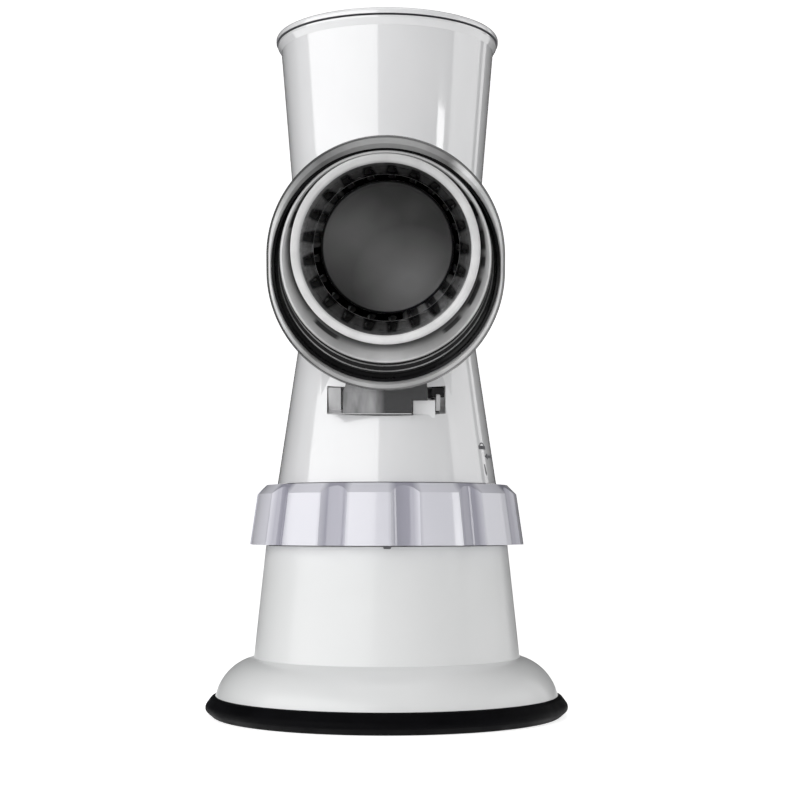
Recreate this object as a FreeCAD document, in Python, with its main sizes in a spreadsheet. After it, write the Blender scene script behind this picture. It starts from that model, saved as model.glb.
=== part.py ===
import FreeCAD, Part
import os
import re

import Sketcher
from FreeCAD import Placement, Rotation, Vector

# Rotary drum shredder: a hopper over a tilted drum barrel, on a pedestal held down by a
# suction cup. A hand crank at the back turns the drum; a lock ring round the pedestal's
# neck lifts the middle of the cup.
#
# World frame: +Z up, origin on the table under the pedestal, drum mouth towards -Y.
# Drum frame: origin where the drum axis crosses the centre line of the body, +Z towards
# the mouth, +Y up, +X as in the world. Distances along the drum axis are called stations.

SIZES = {
    # drum axis
    "axis_height": 174.9,
    "axis_tilt": 10.0,
    # shared walls and clearances
    "housing_wall": 2.3,
    "seat_gap": 0.3,
    "slide_gap": 0.4,
    "shaft_gap": 0.05,
    "press_gap": 0.1,
    # suction cup
    "foot_radius": 67.0,
    "foot_bevel": 3.0,
    "foot_edge": 1.4,
    "foot_height": 7.6,
    "cup_membrane": 3.0,
    "cup_boss_radius": 10.5,
    "cup_boss_height": 17.0,
    "cup_draft": 1.5,
    # pedestal
    "flange_radius": 63.3,
    "flange_crown": 18.2,
    "pedestal_foot_radius": 49.3,
    "pedestal_foot_height": 21.5,
    "pedestal_top_radius": 45.0,
    "pedestal_top_height": 62.5,
    "neck_radius": 36.8,
    "neck_wall": 2.6,
    "neck_top_height": 92.0,
    "neck_plate": 3.0,
    "neck_plate_bore": 26.0,
    # lock ring
    "ring_foot_radius": 51.0,
    "ring_shoulder_radius": 48.4,
    "ring_bevel": 3.4,
    "ring_cam_wall": 3.8,
    "ring_void_radius": 45.2,
    "ring_roof": 3.0,
    "lobe_count": 12,
    "groove_radius": 8.2,
    "groove_depth": 2.0,
    "groove_lean": 8.0,
    "groove_turn": 8.0,
    # lift spider under the neck
    "lift_travel": 4.0,
    "cam_turn": 60.0,
    "cam_count": 3,
    "lift_pin_radius": 2.5,
    "lift_pin_height": 72.0,
    "lift_pin_reach": 40.4,
    "lift_pin_root": 28.0,
    "spider_arm_width": 8.0,
    "spider_arm_depth": 8.0,
    "spider_arm_reach": 35.6,
    "spider_hub_radius": 12.0,
    "stud_radius": 4.0,
    "stud_head_radius": 7.0,
    "stud_head_depth": 3.2,
    "stud_head_height": 8.0,
    "stud_end": 1.8,
    "stud_washer_radius": 8.0,
    "stud_washer_depth": 1.2,
    "stud_nut_flats": 13.0,
    "stud_nut_depth": 6.0,
    # screws between the housings
    "screw_count": 4,
    "screw_circle": 30.6,
    "screw_radius": 1.75,
    "screw_head_radius": 3.2,
    "screw_head_depth": 2.4,
    "screw_reach": 12.0,
    "screw_boss_radius": 5.0,
    "screw_boss_centre": 32.2,
    "screw_boss_depth": 15.0,
    # upper housing: hourglass of cone and hopper
    "cone_foot_radius": 40.9,
    "cone_foot_height": 85.2,
    "waist_radius": 31.7,
    "waist_height": 148.0,
    "waist_blend": 7.0,
    "waist_curve": 61.0,
    "hopper_top_radius": 40.3,
    "hopper_top_height": 249.0,
    "lip_radius": 41.6,
    "lip_flare": 2.2,
    "lip_rise": 3.0,
    # barrel round the drum
    "barrel_radius": 35.0,
    "barrel_bore": 32.6,
    "barrel_back": -47.0,
    "barrel_rear_wall": 3.0,
    "barrel_rear_bevel": 3.0,
    "socket_front": 38.0,
    "socket_depth": 13.4,
    "socket_wall": 2.4,
    "rear_hub_radius": 13.0,
    "rear_hub_tip_radius": 11.5,
    "rear_hub_length": 12.0,
    # T-slot for the holder's foot, in the drum frame
    "slot_half_width": 21.2,
    "slot_floor": -58.8,
    "slot_roof": -49.2,
    "slot_back": 16.2,
    "slot_cover": 2.2,
    "slot_cover_front": 37.5,
    "key_left": 9.6,
    "key_right": 17.4,
    "key_height": 5.1,
    "key_back": 36.0,
    "key_front": 45.0,
    # drum holder
    "sleeve_radius": 36.0,
    "sleeve_back": 25.0,
    "collar_front": 61.0,
    "collar_rim_depth": 11.0,
    "collar_radius": 41.0,
    "collar_upper_centre": -2.3,
    "collar_lower_centre": -7.8,
    "recess_radius": 39.5,
    "recess_centre": -5.1,
    "recess_depth": 10.0,
    "weir_radius": 36.4,
    "weir_centre": -2.85,
    "weir_edge": 0.6,
    "funnel_depth": 7.0,
    "tongue_half_width": 15.9,
    "tongue_front": 58.0,
    "neck_back": 48.0,
    "neck_root": -45.4,
    "wing_front": 39.5,
    "foot_back": 18.0,
    "key_gap": 0.5,
    "drip_taper": 40.0,
    # drum
    "mouth_front": 76.2,
    "mouth_lip": 2.0,
    "mouth_ring_length": 19.2,
    "mouth_ring_radius": 32.5,
    "mouth_bore_radius": 28.8,
    "mouth_edge": 0.8,
    "shell_back": -22.0,
    "shell_back_bore": 26.2,
    "shell_wall": 0.8,
    "cutter_columns": 21,
    "cutter_rows": 2,
    "cutter_row_pitch": 37.0,
    "cutter_first_row": 38.0,
    "cutter_length": 32.0,
    "cutter_width": 4.0,
    "blade_rise": 1.5,
    "blade_reach": 3.5,
    "blade_root": 0.4,
    "blade_skin": 0.12,
    "blade_edge": 0.2,
    "bead_after_rows": 1,
    "bead_depth": 0.5,
    "bead_width": 2.4,
    "end_plate_depth": 1.5,
    "end_rim_depth": 5.0,
    "end_rim_wall": 1.2,
    "hub_radius": 10.5,
    "hub_draft": 1.0,
    "hub_flange_depth": 2.0,
    "hub_length": 14.0,
    "hub_socket_depth": 11.0,
    "hex_flats": 10.0,
    "hex_gap": 0.2,
    # crank shaft, bush and seal
    "shaft_radius": 6.0,
    "shaft_nose": -25.5,
    "shaft_collar_radius": 9.5,
    "shaft_collar_front": -39.6,
    "shaft_collar_depth": 2.2,
    "seal_radius": 9.8,
    "seal_face_gap": 0.15,
    "bush_radius": 8.5,
    "bush_flange_radius": 11.0,
    "bush_flange_depth": 2.0,
    "tail_flats": 8.0,
    # crank arm and grip
    "arm_gap": 0.4,
    "arm_depth": 8.6,
    "arm_hub_radius": 11.5,
    "arm_tip_radius": 9.0,
    "arm_throw": 72.0,
    "arm_rim": 2.4,
    "arm_panel_depth": 2.6,
    "arm_panel_gap": 3.0,
    "crank_washer_radius": 6.5,
    "crank_washer_depth": 1.2,
    "crank_screw_radius": 2.4,
    "crank_screw_head_radius": 5.0,
    "crank_screw_head_depth": 3.0,
    "crank_screw_reach": 16.0,
    "pin_radius": 3.6,
    "pin_head_radius": 6.2,
    "pin_head_depth": 2.6,
    "grip_gap": 0.6,
    "grip_length": 52.0,
    "grip_root_radius": 9.4,
    "grip_belly_radius": 12.6,
    "grip_tip_radius": 11.0,
    "grip_belly_place": 24.0,
    "grip_belly_length": 14.0,
    "grip_counterbore_radius": 8.0,
    "grip_counterbore_depth": 6.4,
    "grip_cap_depth": 2.4,
    "grip_cap_crown": 1.4,
    # pusher
    "cap_radius": 42.3,
    "cap_depth": 2.7,
    "cap_bevel": 0.8,
    "pusher_gap": 0.6,
    "pusher_wall": 2.2,
    "pusher_floor": 3.0,
    "plate_roof": 3.4,
    "plate_depth": 20.0,
    "saddle_radius": 43.0,
    "saddle_ridge": 2.5,
    "saddle_ridge_width": 1.8,
    "saddle_ridge_pitch": 7.5,
}

# Sizes that follow from the ones above.
DERIVED = {
    "hopper_slope": "(hopper_top_radius - waist_radius) / (hopper_top_height - waist_height)",
    "cone_slope": "(cone_foot_radius - waist_radius) / (waist_height - cone_foot_height)",
    "pedestal_slope": "(pedestal_foot_radius - pedestal_top_radius)"
                      " / (pedestal_top_height - pedestal_foot_height)",
    "ring_bottom": "pedestal_top_height + slide_gap",
    "ring_top": "cone_foot_height - slide_gap",
    "ring_bore": "neck_radius + slide_gap",
    "stud_top_height": "lift_pin_height + spider_arm_depth / 2 + stud_washer_depth"
                       " + stud_nut_depth + stud_end",
    "lip_height": "hopper_top_height + lip_rise",
    "cone_room_height": "axis_height - barrel_bore - slide_gap",
    "pusher_floor_height": "axis_height + saddle_radius / cos(axis_tilt) + plate_roof",
    "plate_foot_height": "pusher_floor_height - plate_depth",
    "shell_front": "mouth_front - mouth_lip",
    "shell_slope": "(mouth_bore_radius - shell_back_bore) / (shell_front - shell_back)",
    "socket_bore": "sleeve_radius + slide_gap",
    "holder_bore": "mouth_ring_radius + slide_gap",
    "rear_face": "barrel_back + barrel_rear_wall",
    "rear_hub_back": "barrel_back - rear_hub_length",
    "bush_back": "rear_hub_back - bush_flange_depth",
    "arm_front": "bush_back - arm_gap",
    "arm_back": "arm_front - arm_depth",
    "arm_splay": "asin((arm_hub_radius - arm_tip_radius) / arm_throw)",
    "grip_front": "arm_back - grip_gap",
    "grip_back": "grip_front - grip_length",
    "pin_head_front": "grip_back + grip_counterbore_depth - seat_gap",
    "hub_back": "shell_back - hub_length",
    "collar_back": "shaft_collar_front - shaft_collar_depth",
    "rim_back": "collar_front - collar_rim_depth",
    "cap_bottom": "lip_height + seat_gap",
    "cap_top": "cap_bottom + cap_depth",
    "collar_seat": "socket_front + seat_gap",
    "screw_head_bottom": "neck_top_height - neck_plate - screw_head_depth",
}

WORD = re.compile(r"[a-z]\w+")
ORIGIN = Vector(0, 0, 0)
AXIS = Vector(0, 0, 1)

doc = FreeCAD.newDocument("RotaryShredder")
sheet = doc.addObject("Spreadsheet::Sheet", "Sizes")
for row, (alias, number) in enumerate(SIZES.items(), start=1):
    sheet.set(f"A{row}", alias)
    sheet.set(f"B{row}", str(number))
    sheet.setAlias(f"B{row}", alias)
for row, (alias, formula) in enumerate(DERIVED.items(), start=1):
    sheet.set(f"D{row}", alias)
    sheet.set(f"E{row}", "=" + formula)
    sheet.setAlias(f"E{row}", alias)
doc.recompute()


# ---------------------------------------------------------------- building helpers

def linked(formula):
    """Formula with each size name pointed at the sheet."""
    def point(match):
        name = match.group(0)
        return f"Sizes.{name}" if name in SIZES or name in DERIVED else name
    return WORD.sub(point, str(formula))


def value(formula):
    """Present number of a formula of size names."""
    return float(sheet.evalExpression(linked(formula)))


def tie(item, path, formula):
    """Bind one property of a document object to a formula of size names."""
    item.setExpression(path, linked(formula))


def place(item, path, across="0", along="0", up="0", turn=None, turn_axis=(1, 0, 0)):
    """Give item's placement property at path an offset and a turn, both bound to the sheet."""
    angle = value(turn) if turn else 0
    base = Vector(value(across), value(along), value(up))
    setattr(item, path, Placement(base, Rotation(Vector(*turn_axis), angle)))
    tie(item, f"{path}.Base.x", across)
    tie(item, f"{path}.Base.y", along)
    tie(item, f"{path}.Base.z", up)
    if turn:
        tie(item, f"{path}.Rotation.Angle", turn)


def body(label, on_drum_axis=False):
    """New body; on_drum_axis puts it in the drum frame."""
    part = doc.addObject("PartDesign::Body", label)
    part.Label = label
    if on_drum_axis:
        place(part, "Placement", up="axis_height", turn="90 + axis_tilt")
    return part


def origin_feature(part, role):
    return [feature for feature in part.Origin.OriginFeatures if feature.Role == role][0]


def sketch(part, name, role="XZ_Plane"):
    """Sketch on one of the body's own origin planes."""
    drawing = part.newObject("Sketcher::SketchObject", name)
    drawing.AttachmentSupport = [(origin_feature(part, role), "")]
    drawing.MapMode = "FlatFace"
    return drawing


def level_sketch(part, name, height):
    """Sketch on a level plane at a height, seen from above."""
    drawing = sketch(part, name, "XY_Plane")
    place(drawing, "AttachmentOffset", up=height)
    return drawing


def station_sketch(part, name, station):
    """Sketch square to the drum axis in a body that stands in the world frame."""
    drawing = sketch(part, name, "XY_Plane")
    place(drawing, "AttachmentOffset",
          along=f"-({station}) * cos(axis_tilt)",
          up=f"axis_height - ({station}) * sin(axis_tilt)",
          turn="90 + axis_tilt")
    return drawing


def axis_sketch(part, name):
    """Sketch whose x runs along the drum axis to the mouth, in a body of the world frame."""
    drawing = sketch(part, name, "YZ_Plane")
    place(drawing, "AttachmentOffset", along="axis_height", turn="180 + axis_tilt", turn_axis=(0, 0, 1))
    return drawing


def pin_down(drawing, edge, end, across, up):
    """Tie one end or centre of a sketch edge to a pair of formulas."""
    for kind, formula in (("DistanceX", across), ("DistanceY", up)):
        number = drawing.addConstraint(Sketcher.Constraint(kind, -1, 1, edge, end, value(formula)))
        tie(drawing, f"Constraints[{number}]", formula)


def outline(drawing, corners, arcs=None):
    """Closed outline through corners, pairs of formulas. arcs maps the number of an edge, which
    starts at the corner of that number, to its radius and the side it bulges to: 1 is left of
    the way the outline runs and -1 is right."""
    arcs = arcs or {}
    points = [Vector(value(across), value(up), 0) for across, up in corners]
    ends = []
    for number, start in enumerate(points):
        finish = points[(number + 1) % len(points)]
        if number in arcs:
            radius_formula, side = arcs[number]
            radius = value(radius_formula)
            half = (finish - start).Length / 2
            rise = radius - (radius * radius - half * half) ** 0.5
            normal = Vector(start.y - finish.y, finish.x - start.x, 0).normalize()
            middle = (start + finish) / 2 + normal * rise * side
            # the sketcher keeps every arc anticlockwise
            first, last = (start, finish) if side < 0 else (finish, start)
            edge = drawing.addGeometry(Part.ArcOfCircle(first, middle, last))
            tied = drawing.addConstraint(Sketcher.Constraint("Radius", edge, radius))
            tie(drawing, f"Constraints[{tied}]", radius_formula)
            ends.append((edge, 1, 2) if side < 0 else (edge, 2, 1))
        else:
            edge = drawing.addGeometry(Part.LineSegment(start, finish))
            ends.append((edge, 1, 2))
    for number, (edge, first, last) in enumerate(ends):
        after, after_first, _ = ends[(number + 1) % len(ends)]
        drawing.addConstraint(Sketcher.Constraint("Coincident", edge, last, after, after_first))
        pin_down(drawing, edge, first, *corners[number])
    return drawing


def rectangle(drawing, left, bottom, right, top):
    return outline(drawing, [(left, bottom), (right, bottom), (right, top), (left, top)])


def circle(drawing, radius, across="0", up="0"):
    edge = drawing.addGeometry(Part.Circle(Vector(value(across), value(up), 0), Vector(0, 0, 1),
                                           value(radius)))
    number = drawing.addConstraint(Sketcher.Constraint("Radius", edge, value(radius)))
    tie(drawing, f"Constraints[{number}]", radius)
    pin_down(drawing, edge, 3, across, up)
    return drawing


def polygon(drawing, flats, sides):
    """Regular polygon of four or six sides about the origin, by its width across flats."""
    if sides == 4:
        half = f"({flats}) / 2"
        return rectangle(drawing, f"-{half}", f"-{half}", half, half)
    side = f"({flats}) / 2"
    point = f"({flats}) / (2 * cos(30))"
    low = f"({flats}) * tan(30) / 2"
    return outline(drawing, [(side, f"-{low}"), (side, low), ("0", point),
                             (f"-{side}", low), (f"-{side}", f"-{low}"), ("0", f"-({point})")])


def turn(part, drawing, axis="V_Axis", cut=False):
    """Turn a sketch once round one of its axes, adding to the body or cutting from it."""
    kind = "Groove" if cut else "Revolution"
    before = 0 if part.Tip is None else part.Shape.Volume
    feature = part.newObject(f"PartDesign::{kind}", f"{kind}_{drawing.Name}")
    feature.Profile = drawing
    feature.ReferenceAxis = (drawing, [axis])
    feature.Angle = 360
    return settle(part, feature, before, cut)


def raise_up(part, drawing, length, cut=False, backwards=False, taper=None):
    """Pad a sketch, or pocket it out of the body, over a bound length."""
    kind = "Pocket" if cut else "Pad"
    before = 0 if part.Tip is None else part.Shape.Volume
    feature = part.newObject(f"PartDesign::{kind}", f"{kind}_{drawing.Name}")
    feature.Profile = drawing
    feature.Length = value(length)
    tie(feature, "Length", length)
    # a pocket runs against its sketch's normal unless it is reversed
    feature.Reversed = cut != backwards
    if taper:
        feature.TaperAngle = value(taper)
        tie(feature, "TaperAngle", taper)
    return settle(part, feature, before, cut)


def settle(part, feature, before, cut):
    """Recompute, and make sure that the feature added or removed material."""
    part.Tip = feature
    doc.recompute()
    change = part.Shape.Volume - before
    if (cut and change > -1e-3) or (not cut and change < 1e-3):
        raise RuntimeError(f"{part.Label}: {feature.Name} changed the volume by {change:.4f}")
    return feature


def around(part, originals, count, axis_role="Z_Axis"):
    """Repeat features round one of the body's axes."""
    before = part.Shape.Volume
    pattern = part.newObject("PartDesign::PolarPattern", f"Round_{originals[0].Name}")
    pattern.Originals = originals
    pattern.Axis = (origin_feature(part, axis_role), [""])
    pattern.Angle = 360
    pattern.Occurrences = int(value(count))
    tie(pattern, "Occurrences", count)
    part.Tip = pattern
    doc.recompute()
    if abs(part.Shape.Volume - before) < 1e-3:
        raise RuntimeError(f"{part.Label}: {pattern.Name} changed nothing")
    return pattern


def turned(label, corners, arcs=None, on_drum_axis=False):
    """Body turned from one outline of (radius, height) corners."""
    part = body(label, on_drum_axis)
    turn(part, outline(sketch(part, f"{label}_outline"), corners, arcs))
    return part


def ring(label, outer, inner, low, high, on_drum_axis=False):
    """Plain turned ring between two radii and two heights."""
    return turned(label, [(inner, low), (outer, low), (outer, high), (inner, high)],
                  on_drum_axis=on_drum_axis)


# ---------------------------------------------------------------- pedestal

def suction_cup():
    """Rubber cup: bevelled rim that carries the pedestal, thin membrane, boss round the stud."""
    head_top = "stud_head_height + stud_head_depth + seat_gap"
    corners = [
        ("0", "0"),
        ("foot_radius - foot_bevel", "0"),
        ("foot_radius", "foot_bevel"),
        ("foot_radius", "foot_bevel + foot_edge"),
        ("flange_radius + foot_edge / 2", "foot_height"),
        ("flange_radius - housing_wall - foot_edge / 2", "foot_height"),
        ("flange_radius - housing_wall - cup_draft - foot_edge", "cup_membrane"),
        ("cup_boss_radius + cup_draft", "cup_membrane"),
        ("cup_boss_radius", "cup_boss_height"),
        ("stud_radius + seat_gap", "cup_boss_height"),
        ("stud_radius + seat_gap", head_top),
        ("stud_head_radius + seat_gap", head_top),
        ("stud_head_radius + seat_gap", "stud_head_height - seat_gap"),
        ("0", "stud_head_height - seat_gap"),
    ]
    return turned("suction_cup", corners)


def lower_housing():
    """Hollow pedestal: crowned flange, cone, ledge under the lock ring, neck with lift windows."""
    inner_neck = "neck_radius - neck_wall"
    ledge_bottom = "pedestal_top_height - housing_wall"
    corners = [
        ("flange_radius", "foot_height"),
        ("pedestal_foot_radius", "pedestal_foot_height"),
        ("pedestal_top_radius", "pedestal_top_height"),
        ("neck_radius", "pedestal_top_height"),
        ("neck_radius", "neck_top_height"),
        ("neck_plate_bore", "neck_top_height"),
        ("neck_plate_bore", "neck_top_height - neck_plate"),
        (inner_neck, "neck_top_height - neck_plate"),
        (inner_neck, ledge_bottom),
        ("pedestal_top_radius - housing_wall + housing_wall * pedestal_slope", ledge_bottom),
        ("pedestal_foot_radius - housing_wall", "pedestal_foot_height - housing_wall / 2"),
        ("flange_radius - housing_wall", "foot_height"),
    ]
    part = turned("lower_housing", corners, {0: ("flange_crown", -1)})
    window = rectangle(
        sketch(part, "lift_window"),
        "-(spider_arm_width / 2 + slide_gap)",
        "lift_pin_height - spider_arm_depth / 2 - slide_gap",
        "spider_arm_width / 2 + slide_gap",
        "lift_pin_height + spider_arm_depth / 2 + lift_travel + slide_gap")
    windows = raise_up(part, window, "neck_radius + slide_gap", cut=True)
    around(part, [windows], "cam_count")
    hole = circle(level_sketch(part, "screw_hole", "neck_top_height - neck_plate"),
                  "screw_radius + shaft_gap", "screw_circle * cos(45)", "screw_circle * sin(45)")
    holes = raise_up(part, hole, "neck_plate", cut=True)
    around(part, [holes], "screw_count")
    return part


def lock_ring():
    """Grip ring on the neck: lobed skirt, roof, and a cam wall with rising slots for the pins."""
    cam_radius = "ring_bore + ring_cam_wall"
    corners = [
        ("ring_bore", "ring_bottom"),
        (cam_radius, "ring_bottom"),
        (cam_radius, "ring_top - ring_roof"),
        ("ring_void_radius", "ring_top - ring_roof"),
        ("ring_void_radius", "ring_bottom"),
        ("ring_foot_radius", "ring_bottom"),
        ("ring_shoulder_radius", "ring_top - ring_bevel"),
        ("ring_shoulder_radius - ring_bevel", "ring_top"),
        ("ring_bore", "ring_top"),
    ]
    part = turned("lock_ring", corners)

    groove = part.newObject("PartDesign::SubtractiveCylinder", "grip_groove")
    groove.Radius = value("groove_radius")
    tie(groove, "Radius", "groove_radius")
    groove.Height = value("2 * (ring_top - ring_bottom)")
    tie(groove, "Height", "2 * (ring_top - ring_bottom)")
    groove.AttachmentSupport = [(origin_feature(part, "XY_Plane"), "")]
    groove.MapMode = "FlatFace"
    lean_drop = "(ring_top - ring_bottom) / 2"
    reach = f"(ring_foot_radius - groove_depth + groove_radius + {lean_drop} * tan(groove_lean))"
    place(groove, "AttachmentOffset",
          across=f"{reach} * cos(groove_turn)",
          along=f"{reach} * sin(groove_turn)",
          up=f"ring_bottom - {lean_drop}",
          turn="-groove_lean",
          turn_axis=(-value("sin(groove_turn)"), value("cos(groove_turn)"), 0))
    part.Tip = groove
    doc.recompute()
    around(part, [groove], "lobe_count")

    # the slot runs on past both pin positions by the pin's own half width and a gap
    overrun = "(lift_pin_radius + slide_gap) / ring_bore * 180 / pi"
    half = "lift_pin_radius + slide_gap"
    low_end = f"lift_pin_height - lift_travel * {overrun} / cam_turn"
    section = sketch(part, "cam_slot")
    place(section, "AttachmentOffset", turn=f"{overrun} - 90", turn_axis=(0, 1, 0))
    rectangle(section, "ring_bore - slide_gap", f"{low_end} - ({half})",
              f"{cam_radius} + slide_gap", f"{low_end} + {half}")
    slot = part.newObject("PartDesign::SubtractiveHelix", "cam_slot_sweep")
    slot.Profile = section
    slot.ReferenceAxis = (section, ["V_Axis"])
    slot.Mode = 0
    slot.Pitch = value("lift_travel * 360 / cam_turn")
    tie(slot, "Pitch", "lift_travel * 360 / cam_turn")
    slot.Height = value(f"lift_travel * (cam_turn + 2 * {overrun}) / cam_turn")
    tie(slot, "Height", f"lift_travel * (cam_turn + 2 * {overrun}) / cam_turn")
    slot.LeftHanded = True
    part.Tip = slot
    doc.recompute()
    around(part, [slot], "cam_count")
    return part


def lift_spider():
    """Hub on the stud with three arms that rise in the neck's windows."""
    half = "spider_arm_depth / 2"
    corners = [
        ("stud_radius + shaft_gap", f"lift_pin_height - {half} - stud_washer_depth"),
        ("spider_hub_radius", f"lift_pin_height - {half} - stud_washer_depth"),
        ("spider_hub_radius", f"lift_pin_height + {half}"),
        ("stud_radius + shaft_gap", f"lift_pin_height + {half}"),
    ]
    part = turned("lift_spider", corners)
    arm_side = level_sketch(part, "spider_arm", f"lift_pin_height - {half}")
    rectangle(arm_side, "-spider_arm_width / 2", "-spider_arm_reach",
              "spider_arm_width / 2", "-(stud_radius + seat_gap)")
    arm = raise_up(part, arm_side, "spider_arm_depth")
    arms = around(part, [arm], "cam_count")
    bore_side = sketch(part, "pin_seat")
    place(bore_side, "AttachmentOffset")
    circle(bore_side, "lift_pin_radius", "0", "lift_pin_height")
    seat = raise_up(part, bore_side, "neck_radius", cut=True)
    part.Tip = seat
    around(part, [seat], "cam_count")
    return part


def lift_pins():
    """Three pins in the ends of the spider's arms, which ride in the lock ring's slots."""
    part = body("lift_pins")
    end = sketch(part, "pin_end")
    place(end, "AttachmentOffset", up="lift_pin_root")
    circle(end, "lift_pin_radius", "0", "lift_pin_height")
    pin = raise_up(part, end, "lift_pin_reach - lift_pin_root")
    around(part, [pin], "cam_count")
    return part


def cup_stud():
    """Stud whose head is held in the cup's boss."""
    head_top = "stud_head_height + stud_head_depth"
    return turned("cup_stud", [
        ("0", "stud_head_height"), ("stud_head_radius", "stud_head_height"),
        ("stud_head_radius", head_top), ("stud_radius", head_top),
        ("stud_radius", "stud_top_height"), ("0", "stud_top_height")])


def stud_washer():
    """Washer between the spider's hub and the nut."""
    low = "lift_pin_height + spider_arm_depth / 2"
    return ring("stud_washer", "stud_washer_radius", "stud_radius + shaft_gap", low,
                f"{low} + stud_washer_depth")


def stud_nut():
    """Hexagonal nut on the stud."""
    part = body("stud_nut")
    low = "lift_pin_height + spider_arm_depth / 2 + stud_washer_depth"
    raise_up(part, polygon(level_sketch(part, "nut_flats", low), "stud_nut_flats", 6), "stud_nut_depth")
    bore = circle(level_sketch(part, "nut_bore", low), "stud_radius + shaft_gap")
    raise_up(part, bore, "stud_nut_depth", cut=True)
    return part


# ---------------------------------------------------------------- upper housing

def upper_housing():
    """Hopper, tilted barrel, cone and T-slot in one moulding."""
    part = body("upper_housing")
    waist_low = "waist_radius + waist_blend * cone_slope"
    waist_high = "waist_radius + waist_blend * hopper_slope"
    hourglass = outline(sketch(part, "hourglass"), [
        ("0", "cone_foot_height"),
        ("cone_foot_radius", "cone_foot_height"),
        (waist_low, "waist_height - waist_blend"),
        (waist_high, "waist_height + waist_blend"),
        ("hopper_top_radius", "hopper_top_height"),
        ("lip_radius", "hopper_top_height + lip_flare"),
        ("lip_radius", "lip_height"),
        ("0", "lip_height"),
    ], {2: ("waist_curve", 1)})
    turn(part, hourglass)

    room = outline(sketch(part, "cone_room"), [
        ("0", "cone_foot_height"),
        ("cone_foot_radius - housing_wall", "cone_foot_height"),
        ("cone_foot_radius - housing_wall - (cone_room_height - cone_foot_height) * cone_slope",
         "cone_room_height"),
        ("0", "cone_room_height"),
    ])
    turn(part, room, cut=True)

    barrel = outline(axis_sketch(part, "barrel"), [
        ("rear_hub_back", "0"),
        ("rear_hub_back", "rear_hub_tip_radius"),
        ("barrel_back", "rear_hub_radius"),
        ("barrel_back", "barrel_radius - barrel_rear_bevel"),
        ("barrel_back + barrel_rear_bevel", "barrel_radius"),
        ("socket_front - socket_depth - socket_wall", "barrel_radius"),
        ("socket_front - socket_depth", "socket_bore + socket_wall"),
        ("socket_front", "socket_bore + socket_wall"),
        ("socket_front", "0"),
    ])
    turn(part, barrel, "H_Axis")

    cover = rectangle(station_sketch(part, "slot_cover", "slot_back - slot_cover"),
                      "-(slot_half_width + slot_cover)", "slot_floor - slot_cover",
                      "slot_half_width + slot_cover", "slot_roof + slot_cover")
    raise_up(part, cover, "slot_cover_front - slot_back + slot_cover")
    brow = rectangle(station_sketch(part, "slot_brow", "slot_cover_front - slot_cover"),
                     "-(slot_half_width + slot_cover)", "slot_roof",
                     "slot_half_width + slot_cover", "-(slot_half_width + slot_cover)")
    raise_up(part, brow, "slot_cover")

    boss_side = level_sketch(part, "screw_boss", "neck_top_height")
    circle(boss_side, "screw_boss_radius", "screw_boss_centre * cos(45)", "screw_boss_centre * sin(45)")
    boss = raise_up(part, boss_side, "screw_boss_depth")
    around(part, [boss], "screw_count")

    bore = outline(axis_sketch(part, "barrel_bore"), [
        ("rear_hub_back", "0"),
        ("rear_hub_back", "bush_radius"),
        ("rear_face", "bush_radius"),
        ("rear_face", "barrel_bore"),
        ("socket_front - socket_depth", "barrel_bore"),
        ("socket_front - socket_depth", "socket_bore"),
        ("socket_front + slide_gap", "socket_bore"),
        ("socket_front + slide_gap", "0"),
    ])
    turn(part, bore, "H_Axis", cut=True)
    collar_room = circle(station_sketch(part, "collar_room", "socket_front"),
                         "collar_radius + slide_gap + seat_gap", up="collar_lower_centre")
    raise_up(part, collar_room, "collar_front - socket_front", cut=True)

    hopper_top = "hopper_top_radius - housing_wall + (lip_height - hopper_top_height) * hopper_slope"
    hopper = outline(sketch(part, "hopper_room"), [
        ("0", "axis_height"),
        ("waist_radius - housing_wall + (axis_height - waist_height) * hopper_slope", "axis_height"),
        (hopper_top, "lip_height"),
        ("0", "lip_height"),
    ])
    turn(part, hopper, cut=True)

    slot = rectangle(station_sketch(part, "foot_slot", "slot_back"),
                     "-slot_half_width", "slot_floor", "slot_half_width", "slot_roof")
    raise_up(part, slot, "collar_front - slot_back", cut=True)

    key = rectangle(station_sketch(part, "slot_key", "key_back"),
                    "key_left", "slot_floor - slot_cover / 2", "key_right", "slot_floor + key_height")
    raise_up(part, key, "key_front - key_back")

    pilot_side = level_sketch(part, "screw_pilot", "neck_top_height")
    circle(pilot_side, "screw_radius + shaft_gap", "screw_circle * cos(45)", "screw_circle * sin(45)")
    pilot = raise_up(part, pilot_side, "screw_reach + seat_gap", cut=True)
    around(part, [pilot], "screw_count")
    return part


def rear_bush():
    """Flanged bush that carries the crank shaft in the rear hub."""
    return turned("rear_bush", [
        ("shaft_radius + shaft_gap", "bush_back"),
        ("bush_flange_radius", "bush_back"),
        ("bush_flange_radius", "rear_hub_back"),
        ("bush_radius", "rear_hub_back"),
        ("bush_radius", "rear_face"),
        ("shaft_radius + shaft_gap", "rear_face"),
    ], on_drum_axis=True)


def shaft_seal():
    """Rubber ring between the shaft's collar and the barrel's rear wall."""
    return ring("shaft_seal", "seal_radius", "shaft_radius + seat_gap", "rear_face",
                "collar_back - seal_face_gap", on_drum_axis=True)


def housing_screws():
    """Screws up through the neck's plate into the bosses of the upper housing."""
    part = body("housing_screws")
    across = "screw_circle * cos(45)"
    along = "screw_circle * sin(45)"
    head = circle(level_sketch(part, "screw_head", "screw_head_bottom"), "screw_head_radius", across, along)
    heads = raise_up(part, head, "screw_head_depth")
    shank = circle(level_sketch(part, "screw_shank", "screw_head_bottom"), "screw_radius", across, along)
    shanks = raise_up(part, shank, "screw_head_depth + neck_plate + screw_reach")
    around(part, [heads, shanks], "screw_count")
    return part


# ---------------------------------------------------------------- drum holder

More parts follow.
